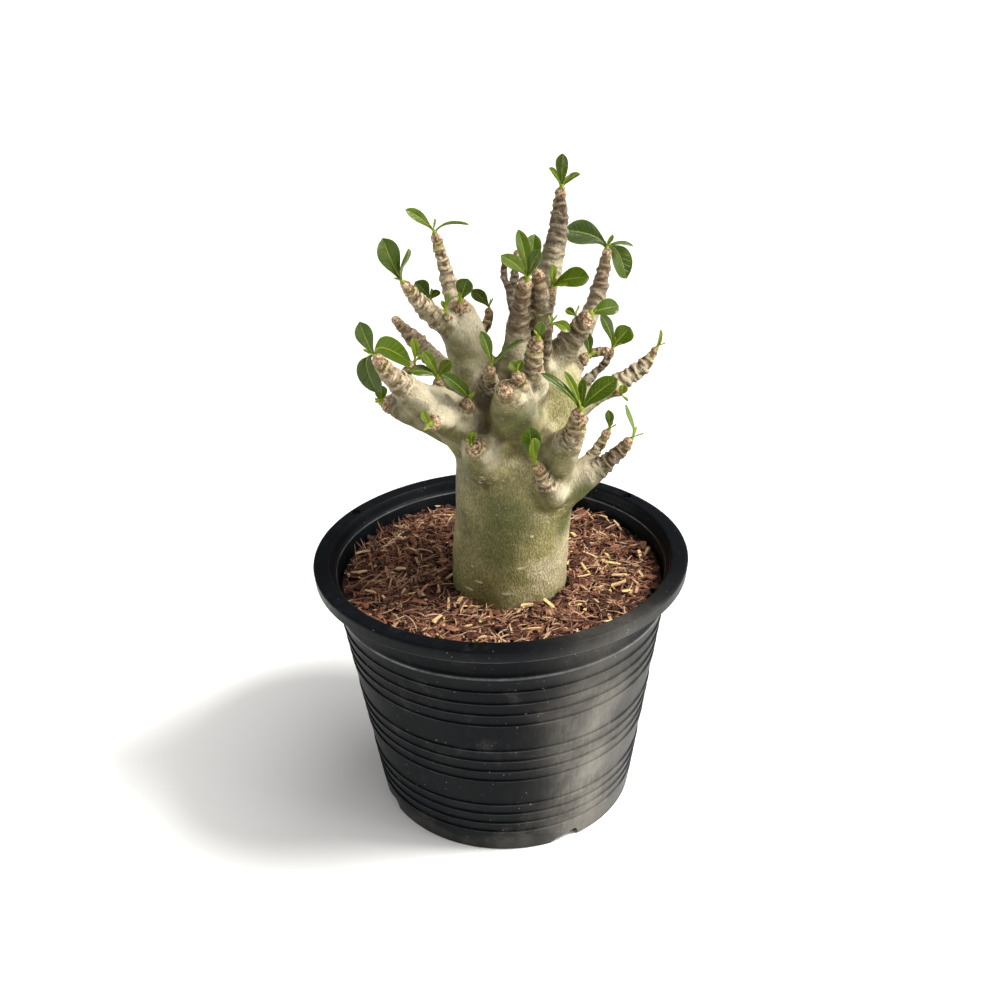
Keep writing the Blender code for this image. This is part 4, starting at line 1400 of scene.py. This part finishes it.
class Strand:
    """One limb as a fine chain of round cones, with what its bark needs to know at each point."""

    STEPS = 8  # links for each stretch of the route
    FAR = 60.0  # further than matters
    PITCH = 1.9  # from one leaf scar to the next, at the tip
    STRETCH = 0.03  # how much that grows with each scar back from the tip
    RIDGE = 1.25  # how high a scar stands on a shoot 12 mm thick, from its foot
    SUNK = 0.42  # how much of that is under the shoot's own radius
    RINGED = (6.4, 10.5)  # the radius over which the rings fade away
    OLD = (16, 50)  # how far from the tip the rings wear down

    def __init__(self, limb: Limb, tones: Sequence[Tone] = (), soft: float = SOFT_LIMIT) -> None:
        """Works out the chain.

        Args:
            limb: The limb.
            tones: How its rings are tinted.
            soft: How widely it may melt into what it grows from.
        """
        self.tint = np.array([tone in tones for tone in Tone], float)
        chain = smooth_route(limb.route, self.STEPS)
        whole = np.linalg.norm(np.diff(chain[:, :3], axis=0), axis=1)
        past = np.concatenate([[0], np.cumsum(whole)])
        if not limb.domed:
            chain = chain[past < past[-1] - 0.55 * chain[-1, 3]]
            past = past[: len(chain)]
        self.chain, self.past = chain, past
        self.left = past[-1] - past
        self.headings = headings(chain)
        self.sides = side_vectors(self.headings)
        self.root = chain[0, 3]
        self.soft = min(soft, max(0.5 * self.root, soft - SOFT_LIMIT)) if self.root < STOUT else 2.5
        self.reach = self.soft + 2
        self.low, self.high = (chain[:, :3] - chain[:, 3:]).min(0), (chain[:, :3] + chain[:, 3:]).max(0)

    def near(self, points: np.ndarray, reach: float) -> np.ndarray:
        """Which points are within reach of this limb, roughly."""
        return np.flatnonzero(((points > self.low - reach) & (points < self.high + reach)).all(1))

    def measure(self, points: np.ndarray, reach: float) -> tuple[np.ndarray, np.ndarray, np.ndarray]:
        """Finds the nearest place on the chain.

        Args:
            points: Points near the limb.
            reach: How far from it a point still matters.

        Returns:
            How far outside the smooth limb each point is, and its nearest place: a link and a share of it.
        """
        best = np.full(len(points), self.FAR)
        link, share = np.zeros(len(points), int), np.zeros(len(points))
        for i, (start, end) in enumerate(zip(self.chain, self.chain[1:])):
            size = max(start[3], end[3]) + reach
            low, high = np.minimum(start, end)[:3] - size, np.maximum(start, end)[:3] + size
            close = np.flatnonzero(((points > low) & (points < high)).all(1))
            axis = end[:3] - start[:3]
            to_point = points[close] - start[:3]
            t = np.clip(to_point @ axis / (axis @ axis), 0, 1)
            apart = np.linalg.norm(to_point - t[:, None] * axis, axis=1) - start[3] - t * (end[3] - start[3])
            nearer = apart < best[close]
            chosen = close[nearer]
            best[chosen], link[chosen], share[chosen] = apart[nearer], i, t[nearer]
        return best, link, share

    def read(self, points: np.ndarray, link: np.ndarray, share: np.ndarray, drift: np.ndarray) -> dict:
        """Works out where each point is on the limb.

        Args:
            points: The points.
            link: Each one's nearest link.
            share: How far along it.
            drift: A noise that makes the rings wander.

        Returns:
            By name, the radius, the side that the point is on, its rings and how far the tip is.
        """
        def along(rows: np.ndarray) -> np.ndarray:
            """Reads rows at each point's place on the chain."""
            weight = share if rows.ndim == 1 else share[:, None]
            return rows[link] * (1 - weight) + rows[link + 1] * weight

        middle = along(self.chain)
        radius, past, left = middle[:, 3], along(self.past), along(self.left)
        heading, side = unit(along(self.headings)), along(self.sides)
        offset = points - middle[:, :3]
        cosine = (offset * side).sum(1)
        sine = (offset * np.cross(heading, side)).sum(1)
        size = np.maximum(np.hypot(cosine, sine), 1e-6)
        cosine, sine = cosine / size, sine / size
        count = np.log1p(self.STRETCH * np.maximum(left + 3, 0) / self.PITCH) / self.STRETCH
        count = count + 0.7 * drift + 0.3 * cosine
        ringed = (1 - smoothstep(radius, *self.RINGED)) * (1 - 0.7 * smoothstep(left, *self.OLD))
        ringed *= smoothstep(past, 0.8 * self.root, 1.4 * self.root + 2)
        return {
            "radius": radius, "cosine": cosine, "sine": sine, "count": count, "ringed": ringed, "left": left,
        }

    def relief(self, traits: dict) -> np.ndarray:
        """Works out how far the rings of leaf scars stand out.

        Args:
            traits: Where each point is on the limb, as read gives it.

        Returns:
            The height at each point, below 0 between two scars.
        """
        count = traits["count"]
        tallest = np.zeros(len(count))
        for step in (-1, 0, 1):
            ring = np.floor(count) + step
            turn = GOLDEN_ANGLE * ring
            facing = traits["cosine"] * np.cos(turn) + traits["sine"] * np.sin(turn)
            off = np.abs(count - ring - SCAR_MIDDLE + SCAR_DROOP * facing)
            crescent = smoothstep(facing, *SCAR_SIDES) * smoothstep(-off, -SCAR_HALF, -0.1)
            tallest = np.maximum(tallest, crescent)
        height = np.clip(traits["radius"] / 6, 0.4, 1.0) * self.RIDGE
        return traits["ringed"] * height * (tallest - self.SUNK)


@dataclass
class Wood:
    """The plant's wood, trunk and limbs, as one skin over limbs that melt into each other at their roots.

    Attributes:
        finish: Its bark.
        pitch: The grid's spacing, which is how fine the skin is.
        cut: The height where the skin ends, under the fill, and a plain foot goes on.
        foot: The height that the foot goes down to.
        block: How many of the grid's points are worked out together, along each axis.
        blur: How far one limb's girth is felt past its surface.
        skin: How far outside a limb's smooth surface its relief is still worked out.
        melt: How widely two limbs melt into each other where neither has its root.
        rooted: Up to where a limb melts most, and from where only by melt, in radii from its root.
        swell: How high the bark swells and sinks.
        swells: How wide the broad swells and the fine ones are.
        head: The heights between which the trunk gives way to the limbs.
        painted_light_way: The way that the painted light and the sun bleaching come from, close to the key
            lamp's.
    """

    finish: BarkFinish = field(default_factory=BarkFinish)
    pitch: float = 1.14
    cut: float = 154.0
    foot: float = 95.3
    block: int = 24
    blur: float = 10.0
    skin: float = 3.0
    melt: float = 1.2
    rooted: tuple[float, float] = (0.4, 2.3)
    swell: float = 0.75
    swells: tuple[float, float] = (17, 6)
    head: tuple[float, float] = (235, 275)
    painted_light_way: np.ndarray = field(default_factory=lambda: unit(np.array((0.5, -0.2, 0.85))))

    def __post_init__(self) -> None:
        """Turns the limbs into strands."""
        self.strands = [Strand(TRUNK)]
        for name, limb in LIMBS.items():
            tones = [tone for tone, names in TINTS.items() if name in names]
            self.strands.append(Strand(limb, tones, SOFT.get(name, SOFT_LIMIT)))
        self.unevenness, self.wander = Ripple(5), Ripple(6)

    def drift(self, points: np.ndarray) -> np.ndarray:
        """The noise that makes rings wander."""
        return self.wander.at(points, 5.5)

    def lumps(self, points: np.ndarray) -> np.ndarray:
        """Reads the noise that swells and sinks the bark, gently on the trunk and more on the limbs.

        Args:
            points: Where.

        Returns:
            How far the bark stands out at each point.
        """
        rough = 0.4 + 0.6 * smoothstep(points[:, 2], *self.head)
        broad, fine = (self.swell * self.unevenness.at(points + i * 50, self.swells[i]) for i in range(2))
        return rough * (broad + fine)

    def distance(self, points: np.ndarray, strands: Sequence[Strand]) -> np.ndarray:
        """How far outside the wood each point is.

        Args:
            points: The points.
            strands: The limbs that may be near.

        Returns:
            The distances, below 0 inside.
        """
        total = np.full(len(points), Strand.FAR)
        for strand in strands:
            near = strand.near(points, strand.reach)
            if not near.size:
                continue
            apart, link, share = strand.measure(points[near], strand.reach)
            fine = np.flatnonzero(apart < self.skin)
            spots = points[near[fine]]
            traits = strand.read(spots, link[fine], share[fine], self.drift(spots))
            apart[fine] -= strand.relief(traits)
            most, least = (share * strand.root for share in self.rooted)
            melt = self.melt + strand.soft * (1 - smoothstep(strand.past[link], most, least))
            joined = np.maximum(melt - np.abs(total[near] - apart), 0) / melt
            total[near] = np.minimum(total[near], apart) - joined**2 * melt / 4
        close = np.flatnonzero(total < self.skin + 1)
        total[close] -= self.lumps(points[close])
        return np.maximum(total, self.cut - points[:, 2])

    def field(self) -> tuple[np.ndarray, np.ndarray]:
        """Fills a grid round the plant with distances, block by block.

        Returns:
            The grid, and its lowest corner.
        """
        low = np.min([strand.low - strand.reach for strand in self.strands], 0)
        high = np.max([strand.high + strand.reach for strand in self.strands], 0)
        low[2] = self.cut - 2 * self.pitch
        counts = np.ceil((high - low) / self.pitch).astype(int) + 1
        values = np.full(counts, Strand.FAR, np.float32)
        for corner in np.ndindex(*(-(-counts // self.block))):
            start = np.array(corner) * self.block
            end = np.minimum(start + self.block, counts)
            lowest, highest = low + start * self.pitch, low + end * self.pitch
            strands = [
                strand for strand in self.strands
                if (strand.low - strand.reach < highest).all() and (strand.high + strand.reach > lowest).all()
            ]
            if strands:
                axes = [low[i] + self.pitch * np.arange(start[i], end[i]) for i in range(3)]
                points = np.stack(np.meshgrid(*axes, indexing="ij"), -1).reshape(-1, 3)
                window = tuple(slice(a, b) for a, b in zip(start, end))
                values[window] = self.distance(points, strands).reshape(end - start)
        return values, low

    def refine(self, points: np.ndarray, step: float = 0.3) -> tuple[np.ndarray, np.ndarray]:
        """Moves points onto the surface.

        Args:
            points: Points near it.
            step: How far the slope is measured over.

        Returns:
            The moved points, and the way that the surface faces there.
        """
        apart = self.distance(points, self.strands)
        ahead = [self.distance(points + step * axis, self.strands) for axis in np.eye(3)]
        slope = (np.stack(ahead, -1) - apart[:, None]) / step
        move = apart[:, None] * slope / np.maximum((slope**2).sum(1, keepdims=True), 0.3)
        return points - np.clip(move, -self.pitch / 2, self.pitch / 2), unit(slope)

    def traits(self, points: np.ndarray, quads: np.ndarray, faces: np.ndarray) -> dict[str, np.ndarray]:
        """What the bark's finish reads at each point: rings from the nearest limb, girth from all near ones.

        Args:
            points: The points.
            quads: The skin's faces, by point number.
            faces: The way that the surface faces at each.

        Returns:
            The traits by name.
        """
        best, second = np.full(len(points), Strand.FAR), np.full(len(points), Strand.FAR)
        rings, turn, tint, marks, surface_shape = (np.zeros((len(points), 3)) for _ in range(5))
        girth, weights = np.zeros(len(points)), np.full(len(points), 1e-9)
        for strand in self.strands:
            near = strand.near(points, self.blur)
            apart, link, share = strand.measure(points[near], self.blur)
            spots = points[near]
            read = strand.read(spots, link, share, self.drift(spots))
            weight = 1 - smoothstep(apart, -1, self.blur)
            girth[near] += weight * read["radius"]
            weights[near] += weight
            nearer = apart < best[near]
            second[near] = np.where(nearer, best[near], np.minimum(second[near], apart))
            chosen = near[nearer]
            best[chosen] = apart[nearer]
            rings[chosen] = np.stack([read["count"], read["ringed"], read["left"]], -1)[nearer]
            turn[chosen, :2] = np.stack([read["cosine"], read["sine"]], -1)[nearer]
            tint[chosen, :2] = strand.tint
        rings[:, 1] *= smoothstep(second - best, 0.2, 2.2)
        # Fine hollows, the lumps' height and broad hollows, from which the bark paints shade in its hollows.
        surface_shape[:, 0], surface_shape[:, 2] = hollows_of(points, quads, faces)
        surface_shape[:, 1] = self.lumps(points)
        turn[:, 2] = girth / weights
        # Painted light: how squarely the bark faces the key light's way, partly sun bleaching and partly
        # light and shade.
        tint[:, 2] = smoothstep(faces @ self.painted_light_way, -0.55, 0.85)
        for stain, places in MARKS.items():
            for *middle, size, flat in places:
                away = np.linalg.norm((points - middle) * (1, 1, flat), axis=1) / size
                shown = 1 - smoothstep(away, 0.35, 1.15)
                marks[:, stain.value] = np.maximum(marks[:, stain.value], shown)
        return {"rings": rings, "turn": turn, "tint": tint, "marks": marks, "surface_shape": surface_shape}

    def build(self) -> None:
        """Skins the wood, adds its buried foot and puts it in the scene."""
        values, low = self.field()
        cells, quads = skin_of(values)
        points, faces = self.refine(low + cells * self.pitch)
        log.info("wood: %d points, %d faces", len(points), len(quads))
        shell = Shell()
        shell.add(points, quads, np.zeros((0, 3), int), **self.traits(points, quads, faces))
        x, y, _, radius = TRUNK.route[0]
        ends = ((radius - 3, self.foot), (radius - 0.5, self.foot + 5), (radius - 0.5, self.cut + 1))
        foot = np.array([circle(48) * size + (x, y, height) for size, height in ends])
        flat = {name: np.zeros_like(foot)[None] for name in shell.traits}
        shell.tubes(foot[None], **flat)
        settle(shell.build("adenium_wood", self.finish.make()), Slot.BARK, "adenium")


def hollows_of(points: np.ndarray, quads: np.ndarray, faces: np.ndarray) -> tuple[np.ndarray, np.ndarray]:
    """How hollow the surface is at each point, finely and broadly: above 0 in a hollow, below 0 on a ridge.

    Args:
        points: The points.
        quads: The faces, by point number.
        faces: The way that the surface faces at each point.

    Returns:
        The fine hollows and the broad ones.
    """
    shares = np.bincount(quads.ravel(), minlength=len(points))

    def spread(numbers: np.ndarray) -> np.ndarray:
        """Each point's mean over the faces round it."""
        means = np.repeat(numbers[quads].mean(1), 4)
        return np.bincount(quads.ravel(), weights=means, minlength=len(points)) / np.maximum(shares, 1)

    around_each = np.stack([spread(axis) for axis in points.T], -1)
    fine = broad = ((around_each - points) * faces).sum(1)
    for _ in range(10):
        broad = spread(broad)
    return spread(fine), broad


def skin_of(values: np.ndarray) -> tuple[np.ndarray, np.ndarray]:
    """Skins a grid of distances: a point in each cell that the surface crosses, a face across each cut edge.

    Args:
        values: The distances at the grid's corners.

    Returns:
        The points, in cells, and the faces.
    """
    inside = values < 0
    shape = np.array(values.shape) - 1

    def shifted(grid: np.ndarray, corner: Sequence[int]) -> np.ndarray:
        """The grid's values at one corner of every cell."""
        return grid[tuple(slice(c, c + n) for c, n in zip(corner, shape))]

    counts = sum(shifted(inside, corner).astype(np.uint8) for corner in np.ndindex(2, 2, 2))
    crossed = (counts > 0) & (counts < 8)
    cells = np.argwhere(crossed)
    number = np.full(shape, -1, np.int32)
    number[crossed] = np.arange(len(cells))
    total, cuts = np.zeros((len(cells), 3)), np.zeros(len(cells))
    for corner in np.ndindex(2, 2, 2):
        for axis in range(3):
            if corner[axis]:
                continue
            start = cells + corner
            end = start + np.eye(3, dtype=int)[axis]
            a, b = values[tuple(start.T)], values[tuple(end.T)]
            cut = (a < 0) != (b < 0)
            share = np.where(cut, a / np.where(cut, a - b, 1), 0)
            total[cut] += (start + share[:, None] * (end - start))[cut]
            cuts += cut
    faces = []
    for axis in range(3):
        first, second = (axis + 1) % 3, (axis + 2) % 3
        ahead = np.take(inside, range(1, inside.shape[axis]), axis)
        behind = np.take(inside, range(inside.shape[axis] - 1), axis)
        edges = np.argwhere(ahead != behind)
        edges = edges[(edges[:, first] > 0) & (edges[:, second] > 0)]
        edges = edges[(edges[:, first] < shape[first]) & (edges[:, second] < shape[second])]
        corners = []
        for back_first, back_second in ((0, 0), (1, 0), (1, 1), (0, 1)):
            cell = edges.copy()
            cell[:, first] -= back_first
            cell[:, second] -= back_second
            corners.append(number[tuple(cell.T)])
        quads = np.stack(corners, -1)
        flipped = ~inside[tuple(edges.T)]
        quads[flipped] = quads[flipped][:, ::-1]
        faces.append(quads)
    return total / cuts[:, None], np.vstack(faces)


# Leaves


Blade = tuple[np.ndarray, dict[str, np.ndarray]]  # rings of points, and their traits


@dataclass(frozen=True)
class LeafFinish:
    """Thick glossy leaves, yellow-green when young, with a pale midrib and side veins.

    Attributes:
        deep: The oldest leaves.
        fresh: Most leaves.
        young: The youngest.
        vein: The midrib and the veins.
    """

    deep: Colour = (0.02, 0.042, 0.001)
    fresh: Colour = (0.068, 0.114, 0.001)
    young: Colour = (0.24, 0.29, 0.008)
    vein: Colour = (0.3, 0.36, 0.035)

    def make(self) -> bpy.types.Material:
        """Makes the material.

        Returns:
            The green of the leaves.
        """
        bench = Bench("leaf_green")
        along, across, tone = bench.trait("blade")
        phase, half, under = bench.trait("veins")
        spot = bench.place()
        clouds = bench.noise(spot, 5, 3, 0.6)
        away = bench.maths("ABSOLUTE", across)
        age = tone + 0.35 * (clouds - 0.5)
        green = bench.ramp(age, (0.1, self.deep), (0.5, self.fresh), (0.95, self.young))
        line = bench.fit(bench.maths("ABSOLUTE", bench.maths("FRACT", phase) - 0.5), 0.4, 0.5)
        side_veins = line * bench.fit(away / half, 0.95, 0.5) * bench.fit(along, 0.08, 0.3)
        midrib = bench.fit(away, 0.5, 0.14) * bench.fit(along, 1.0, 0.75, 0.15, 1)
        rim = bench.fit(away / half, 0.9, 1.0)
        paint = bench.mix(0.2 * side_veins, green, self.vein)
        paint = bench.mix(0.7 * midrib, paint, self.vein)
        paint = bench.mix(0.25 * rim, paint, self.vein)
        paint = bench.mix(0.4 * under, paint, (0.2, 0.3, 0.07))
        relief = bench.bump(1 - side_veins - midrib, 0.25, bench.bump(clouds, 0.3))
        return bench.finish(
            Base_Color=paint,
            Roughness=0.25 + 0.14 * clouds + 0.2 * under,
            Normal=relief,
            Subsurface_Weight=0.25,
            Subsurface_Radius=(0.8, 1.0, 0.05),
            Subsurface_Scale=0.0012,
            Specular_IOR_Level=0.32,
        )


@dataclass
class Tufts:
    """The leaves at every shoot's tip, each tuft a bud, its leaves and a few leaflets that have only begun.

    Attributes:
        finish: Their green.
        fold: How steeply a blade's halves rise from its midrib.
        stations: How many sections a blade has.
        across: How many points each side of a section has.
        outline: How wide a blade is along its way, as (share of the way, share of the width).
        stalk: Half a blade's least width near the bud.
        vein_pitch: From one side vein to the next.
        curl: How far a blade's edges bend back, as a share of its width.
        wave: How far they wave, likewise.
        groove: How deep the midrib lies.
    """

    finish: LeafFinish = field(default_factory=LeafFinish)
    fold: float = math.tan(math.radians(14))
    stations: int = 20
    across: int = 9
    outline: tuple[tuple[float, float], ...] = (
        (0.0, 0.15), (0.12, 0.17), (0.3, 0.38), (0.48, 0.72), (0.64, 0.96), (0.76, 1.0), (0.87, 0.86),
        (0.95, 0.52), (1.0, 0.05),
    )
    stalk: float = 0.38
    vein_pitch: float = 2.6
    curl: float = 0.05
    wave: float = 0.03
    groove: float = 0.18

    def blade(
        self, start: np.ndarray, bend: np.ndarray, end: np.ndarray, lateral: np.ndarray, width: float,
        tone: float,
    ) -> Blade:
        """Shapes one blade.

        Args:
            start: Where it leaves the bud.
            bend: What its midrib bends towards on its way.
            end: Its tip.
            lateral: The direction across it.
            width: How wide it is.
            tone: How young its green is.

        Returns:
            Its rings, and what the finish reads at each point.
        """
        t = np.linspace(0, 1, self.stations)[:, None] ** 0.92
        middle = (1 - t) ** 2 * start + 2 * t * (1 - t) * bend + t**2 * end
        forward = unit((1 - t) * (bend - start) + t * (end - bend))
        face = unit(np.cross(lateral, forward))
        length = np.linalg.norm(end - start)
        shares, widths = np.array(smooth_route(self.outline, 6)).T
        half = np.interp(t, shares, widths) * width / 2
        half = np.maximum(half, self.stalk * (1 - smoothstep(t, 0.2, 0.6)))
        v = np.linspace(-1, 1, self.across)[None, :]
        x = v * half
        lift = np.abs(x) * self.fold - self.curl * width * (v**2) * np.sin(math.pi * t)
        lift = lift + self.wave * width * np.sin(9 * t + 4 * v + 9 * tone) * np.abs(v)
        lift = lift - self.groove * np.exp(-((x / 0.5) ** 2))
        top = middle[:, None] + lateral * x[..., None] + face[:, None] * lift[..., None]
        thick = 0.3 + 0.32 * (1 - np.abs(v)) + 0.5 * np.exp(-((x / 0.7) ** 2)) * (1 - 0.7 * t)
        thick *= min(1, width / 7 + 0.3)
        bottom = top - face[:, None] * thick[..., None]
        rings = np.concatenate([top, bottom[:, ::-1]], axis=1)
        x = np.concatenate([x, x[:, ::-1]], 1)
        under = np.concatenate([0 * v, 0 * v + 1], 1) + 0 * x
        phase = (t * length - 0.75 * np.abs(x)) / self.vein_pitch
        blade = np.stack([t + 0 * x, x, tone + 0 * x], -1)
        veins = np.stack([phase, np.maximum(half, 0.3) + 0 * x, under], -1)
        return rings, {"blade": blade, "veins": veins}

    def leaf(self, leaf: Leaf, tip: np.ndarray, direction: np.ndarray, tone: float) -> Blade:
        """Shapes a full leaf, which leaves the bud along the shoot and bends over to its own bearing.

        Args:
            leaf: The leaf.
            tip: The shoot's tip.
            direction: Where the shoot points.
            tone: How young the leaf's green is.

        Returns:
            Its rings, and what the finish reads at each point.
        """
        bearing, rise = math.radians(leaf.bearing), math.radians(leaf.rise)
        level = np.array((math.cos(bearing), math.sin(bearing), 0))
        reach = level * math.cos(rise) + np.array((0, 0, math.sin(rise)))
        upper = np.array((0, 0, math.cos(rise))) - level * math.sin(rise)
        upper = np.array(Matrix.Rotation(math.radians(leaf.turn), 3, Vector(reach)) @ Vector(upper))
        start = tip + direction * 0.8
        bend = start + unit(reach + 1.2 * direction) * leaf.length * 0.38
        return self.blade(start, bend, start + reach * leaf.length, np.cross(reach, upper), leaf.width, tone)

    def leaflet(self, tip: np.ndarray, direction: np.ndarray, draw: random.Random) -> Blade:
        """Shapes a leaflet that has only begun, close to the shoot's own line.

        Args:
            tip: The shoot's tip.
            direction: Where the shoot points.
            draw: The source of chance.

        Returns:
            Its rings, and what the finish reads at each point.
        """
        side = side_vectors([direction])[0]
        turn = Matrix.Rotation(draw.uniform(0, math.tau), 3, Vector(direction))
        side = np.array(turn @ Vector(side))
        lean, length = draw.uniform(0.15, 0.75), draw.uniform(3.2, 7.5)
        reach = unit(direction + lean * side)
        start = tip + direction * draw.uniform(0.6, 2.4) + side * 0.5
        bend = start + unit(reach + direction) * length * 0.4
        lateral = unit(np.cross(reach, side))
        width = length * draw.uniform(0.24, 0.36)
        return self.blade(start, bend, start + reach * length, lateral, width, 0.95)

    def bud(self, tip: np.ndarray, direction: np.ndarray, radius: float) -> Blade:
        """Shapes the soft end of the shoot.

        Args:
            tip: The shoot's tip.
            direction: Where the shoot points.
            radius: How thick it is there.

        Returns:
            Its rings, and what the finish reads at each point.
        """
        side = side_vectors([direction])[0]
        wheel = circle(2 * self.across)
        wheel = wheel[:, :1] * side + wheel[:, 1:2] * np.cross(direction, side)
        t = np.linspace(0, 1, self.stations)
        size = radius * 0.68 * np.cos(t * math.pi / 2) ** 0.7 * (1 + 0.08 * np.cos(t * 16))
        ahead = (t * (radius * 0.8 + 1.8) - 1.2)[:, None, None] * direction
        rings = tip + ahead + size[:, None, None] * wheel
        blade, veins = np.zeros_like(rings), np.zeros_like(rings)
        blade[..., 0] = t[:, None]
        blade[..., 1] = 5.0
        blade[..., 2] = 0.55 + 0.4 * t[:, None]
        veins[..., 1] = 50.0
        return rings, {"blade": blade, "veins": veins}

    def build_tuft(self, name: str, leaves: Sequence[Leaf], material: bpy.types.Material) -> None:
        """Makes one tuft.

        Args:
            name: The limb that carries it.
            leaves: Its leaves.
            material: Their green.
        """
        draw = random.Random(name)
        chain = smooth_route(LIMBS[name].route, Strand.STEPS)
        tip, radius = chain[-1, :3], chain[-1, 3]
        direction = unit(tip - chain[-3, :3])
        parts = [self.bud(tip, direction, radius)]
        for leaf in leaves:
            size = min(leaf.length / 30, 1)
            parts.append(self.leaf(leaf, tip, direction, 0.72 - 0.4 * size + draw.uniform(-0.16, 0.16)))
        parts += [self.leaflet(tip, direction, draw) for _ in range(draw.randint(2, 3))]
        shell = Shell()
        for rings, traits in parts:
            shell.tubes(rings[None], **{key: numbers[None] for key, numbers in traits.items()})
        settle(shell.build("leaves_" + name, material, 50), Slot.LEAF, "tuft_" + name)

    def build(self) -> None:
        """Makes every tuft."""
        material = self.finish.make()
        for name, leaves in TUFTS.items():
            self.build_tuft(name, leaves, material)


# Studio


@dataclass(frozen=True)
class FloorPaint:
    """Matt off-white paint, very slightly mottled.

    Attributes:
        dim: Its darker patches.
        pale: Its paler ones.
        patch: How wide a patch is.
    """

    dim: Colour = (0.9, 0.9, 0.9)
    pale: Colour = (0.92, 0.92, 0.92)
    patch: float = 600.0

    def make(self) -> bpy.types.Material:
        """Makes the material.

        Returns:
            The floor's paint.
        """
        bench = Bench("pale_floor")
        paint = bench.mix(bench.noise(bench.place(), self.patch, 2), self.dim, self.pale)
        return bench.finish(Base_Color=paint, Roughness=0.95, Specular_IOR_Level=0.1)


@dataclass
class Studio:
    """The plain pale floor, the soft light and the camera.

    Attributes:
        floor: The floor's paint.
        floor_reach: How far the floor goes each way.
        aim: What the camera looks at.
        rise: How steeply it looks down, in degrees.
        distance: How far it stands from what it looks at.
        roll: How far it leans, in degrees.
        focal: Its focal length, on a sensor 36 wide.
    """

    floor: FloorPaint = field(default_factory=FloorPaint)
    floor_reach: float = 300000.0
    aim: tuple[float, float, float] = (0.75, 0.0, 217.8)
    rise: float = 26.1
    distance: float = 720.0
    roll: float = 1.74
    focal: float = 39.312

    def build_camera(self) -> None:
        """Stands the camera where it sees the plant from the front and above."""
        rise, roll = math.radians(self.rise), math.radians(self.roll)
        back = Vector((0, -math.cos(rise), math.sin(rise)))
        right, up = Vector((1, 0, 0)), Vector((0, math.sin(rise), math.cos(rise)))
        leaned = (math.cos(roll) * right - math.sin(roll) * up, math.sin(roll) * right + math.cos(roll) * up)
        matrix = Matrix((*leaned, back)).transposed().to_4x4()
        matrix.translation = (Vector(self.aim) + back * self.distance) * MM
        data = bpy.data.cameras.new("camera")
        data.lens = self.focal
        data.sensor_width = 36
        data.clip_start, data.clip_end = 0.05, 1000
        camera = bpy.data.objects.new("camera", data)
        camera.matrix_world = matrix
        bpy.context.scene.collection.objects.link(camera)
        bpy.context.scene.camera = camera

    def build_floor(self) -> None:
        """Lays the floor, wide enough to fill the view."""
        corners = self.floor_reach * np.array([(-1, -1, 0), (1, -1, 0), (1, 1, 0), (-1, 1, 0)])
        shell = Shell()
        shell.add(corners, np.array([[0, 1, 2, 3]]), np.zeros((0, 3), int))
        shell.build("floor", self.floor.make())

    @staticmethod
    def aim_lamp(
        name: str, kind: str, place: Sequence[float], energy: float,
        target: Sequence[float] = (0, 0, 200), **settings: object,
    ) -> None:
        """Adds a lamp.

        Args:
            name: The lamp's name.
            kind: Its type.
            place: Where it stands.
            energy: Its strength.
            target: What it points at.
            **settings: What else is set on it.
        """
        data = bpy.data.lights.new(name, kind)
        data.energy = energy
        for setting, given in settings.items():
            setattr(data, setting, given)
        lamp = bpy.data.objects.new(name, data)
        lamp.location = Vector(place) * MM
        lamp.rotation_euler = (Vector(target) - Vector(place)).to_track_quat("-Z", "Y").to_euler()
        bpy.context.scene.collection.objects.link(lamp)

    def build_light(self) -> None:
        """Lights the plant: a small and a wide sun high on the right, two panels, a floor spot, and air."""
        warm = (1, 0.985, 0.94)
        self.aim_lamp("key", "SUN", (1500, -190, 1950), 3.6, angle=math.radians(16), color=warm)
        self.aim_lamp("soft_key", "SUN", (1500, -60, 1750), 2.1, angle=math.radians(95), color=warm)
        panel = {"shape": "RECTANGLE", "color": (1, 0.97, 0.93)}
        self.aim_lamp("right_panel", "AREA", (760, -420, 330), 2.6, size=0.25, size_y=0.7, **panel)
        self.aim_lamp("left_panel", "AREA", (-900, 0, 380), 3.4, size=0.4, size_y=0.6, **panel)
        self.aim_lamp(
            "floor_spot", "SPOT", (900, -220, 1500), 260, (160, -90, 0),
            spot_size=math.radians(7.5), spot_blend=1, shadow_soft_size=0.05,
        )
        world = bpy.data.worlds.new("air")
        world.use_nodes = True
        background = world.node_tree.nodes["Background"]
        background.inputs["Color"].default_value = (0.97, 0.98, 1, 1)
        background.inputs["Strength"].default_value = 0.2
        bpy.context.scene.world = world
        bpy.context.scene.view_settings.view_transform = "Standard"

    def build(self) -> None:
        """Sets up the whole studio."""
        self.build_camera()
        self.build_floor()
        self.build_light()
        log.info("studio: camera %.0f away, %.1f degrees up", self.distance, self.rise)


def main() -> None:
    """Builds the studio, the pot, the fill, the wood and the leaves, in that order."""
    logging.basicConfig(level=logging.INFO, format="%(name)s: %(message)s")
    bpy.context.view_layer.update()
    Studio().build()
    pot = NurseryPot()
    pot.build()
    x, y, _, radius = TRUNK.route[0]
    HuskFill(pot, (x, y), radius).build()
    Wood().build()
    Tufts().build()


if __name__ == "__main__":
    main()
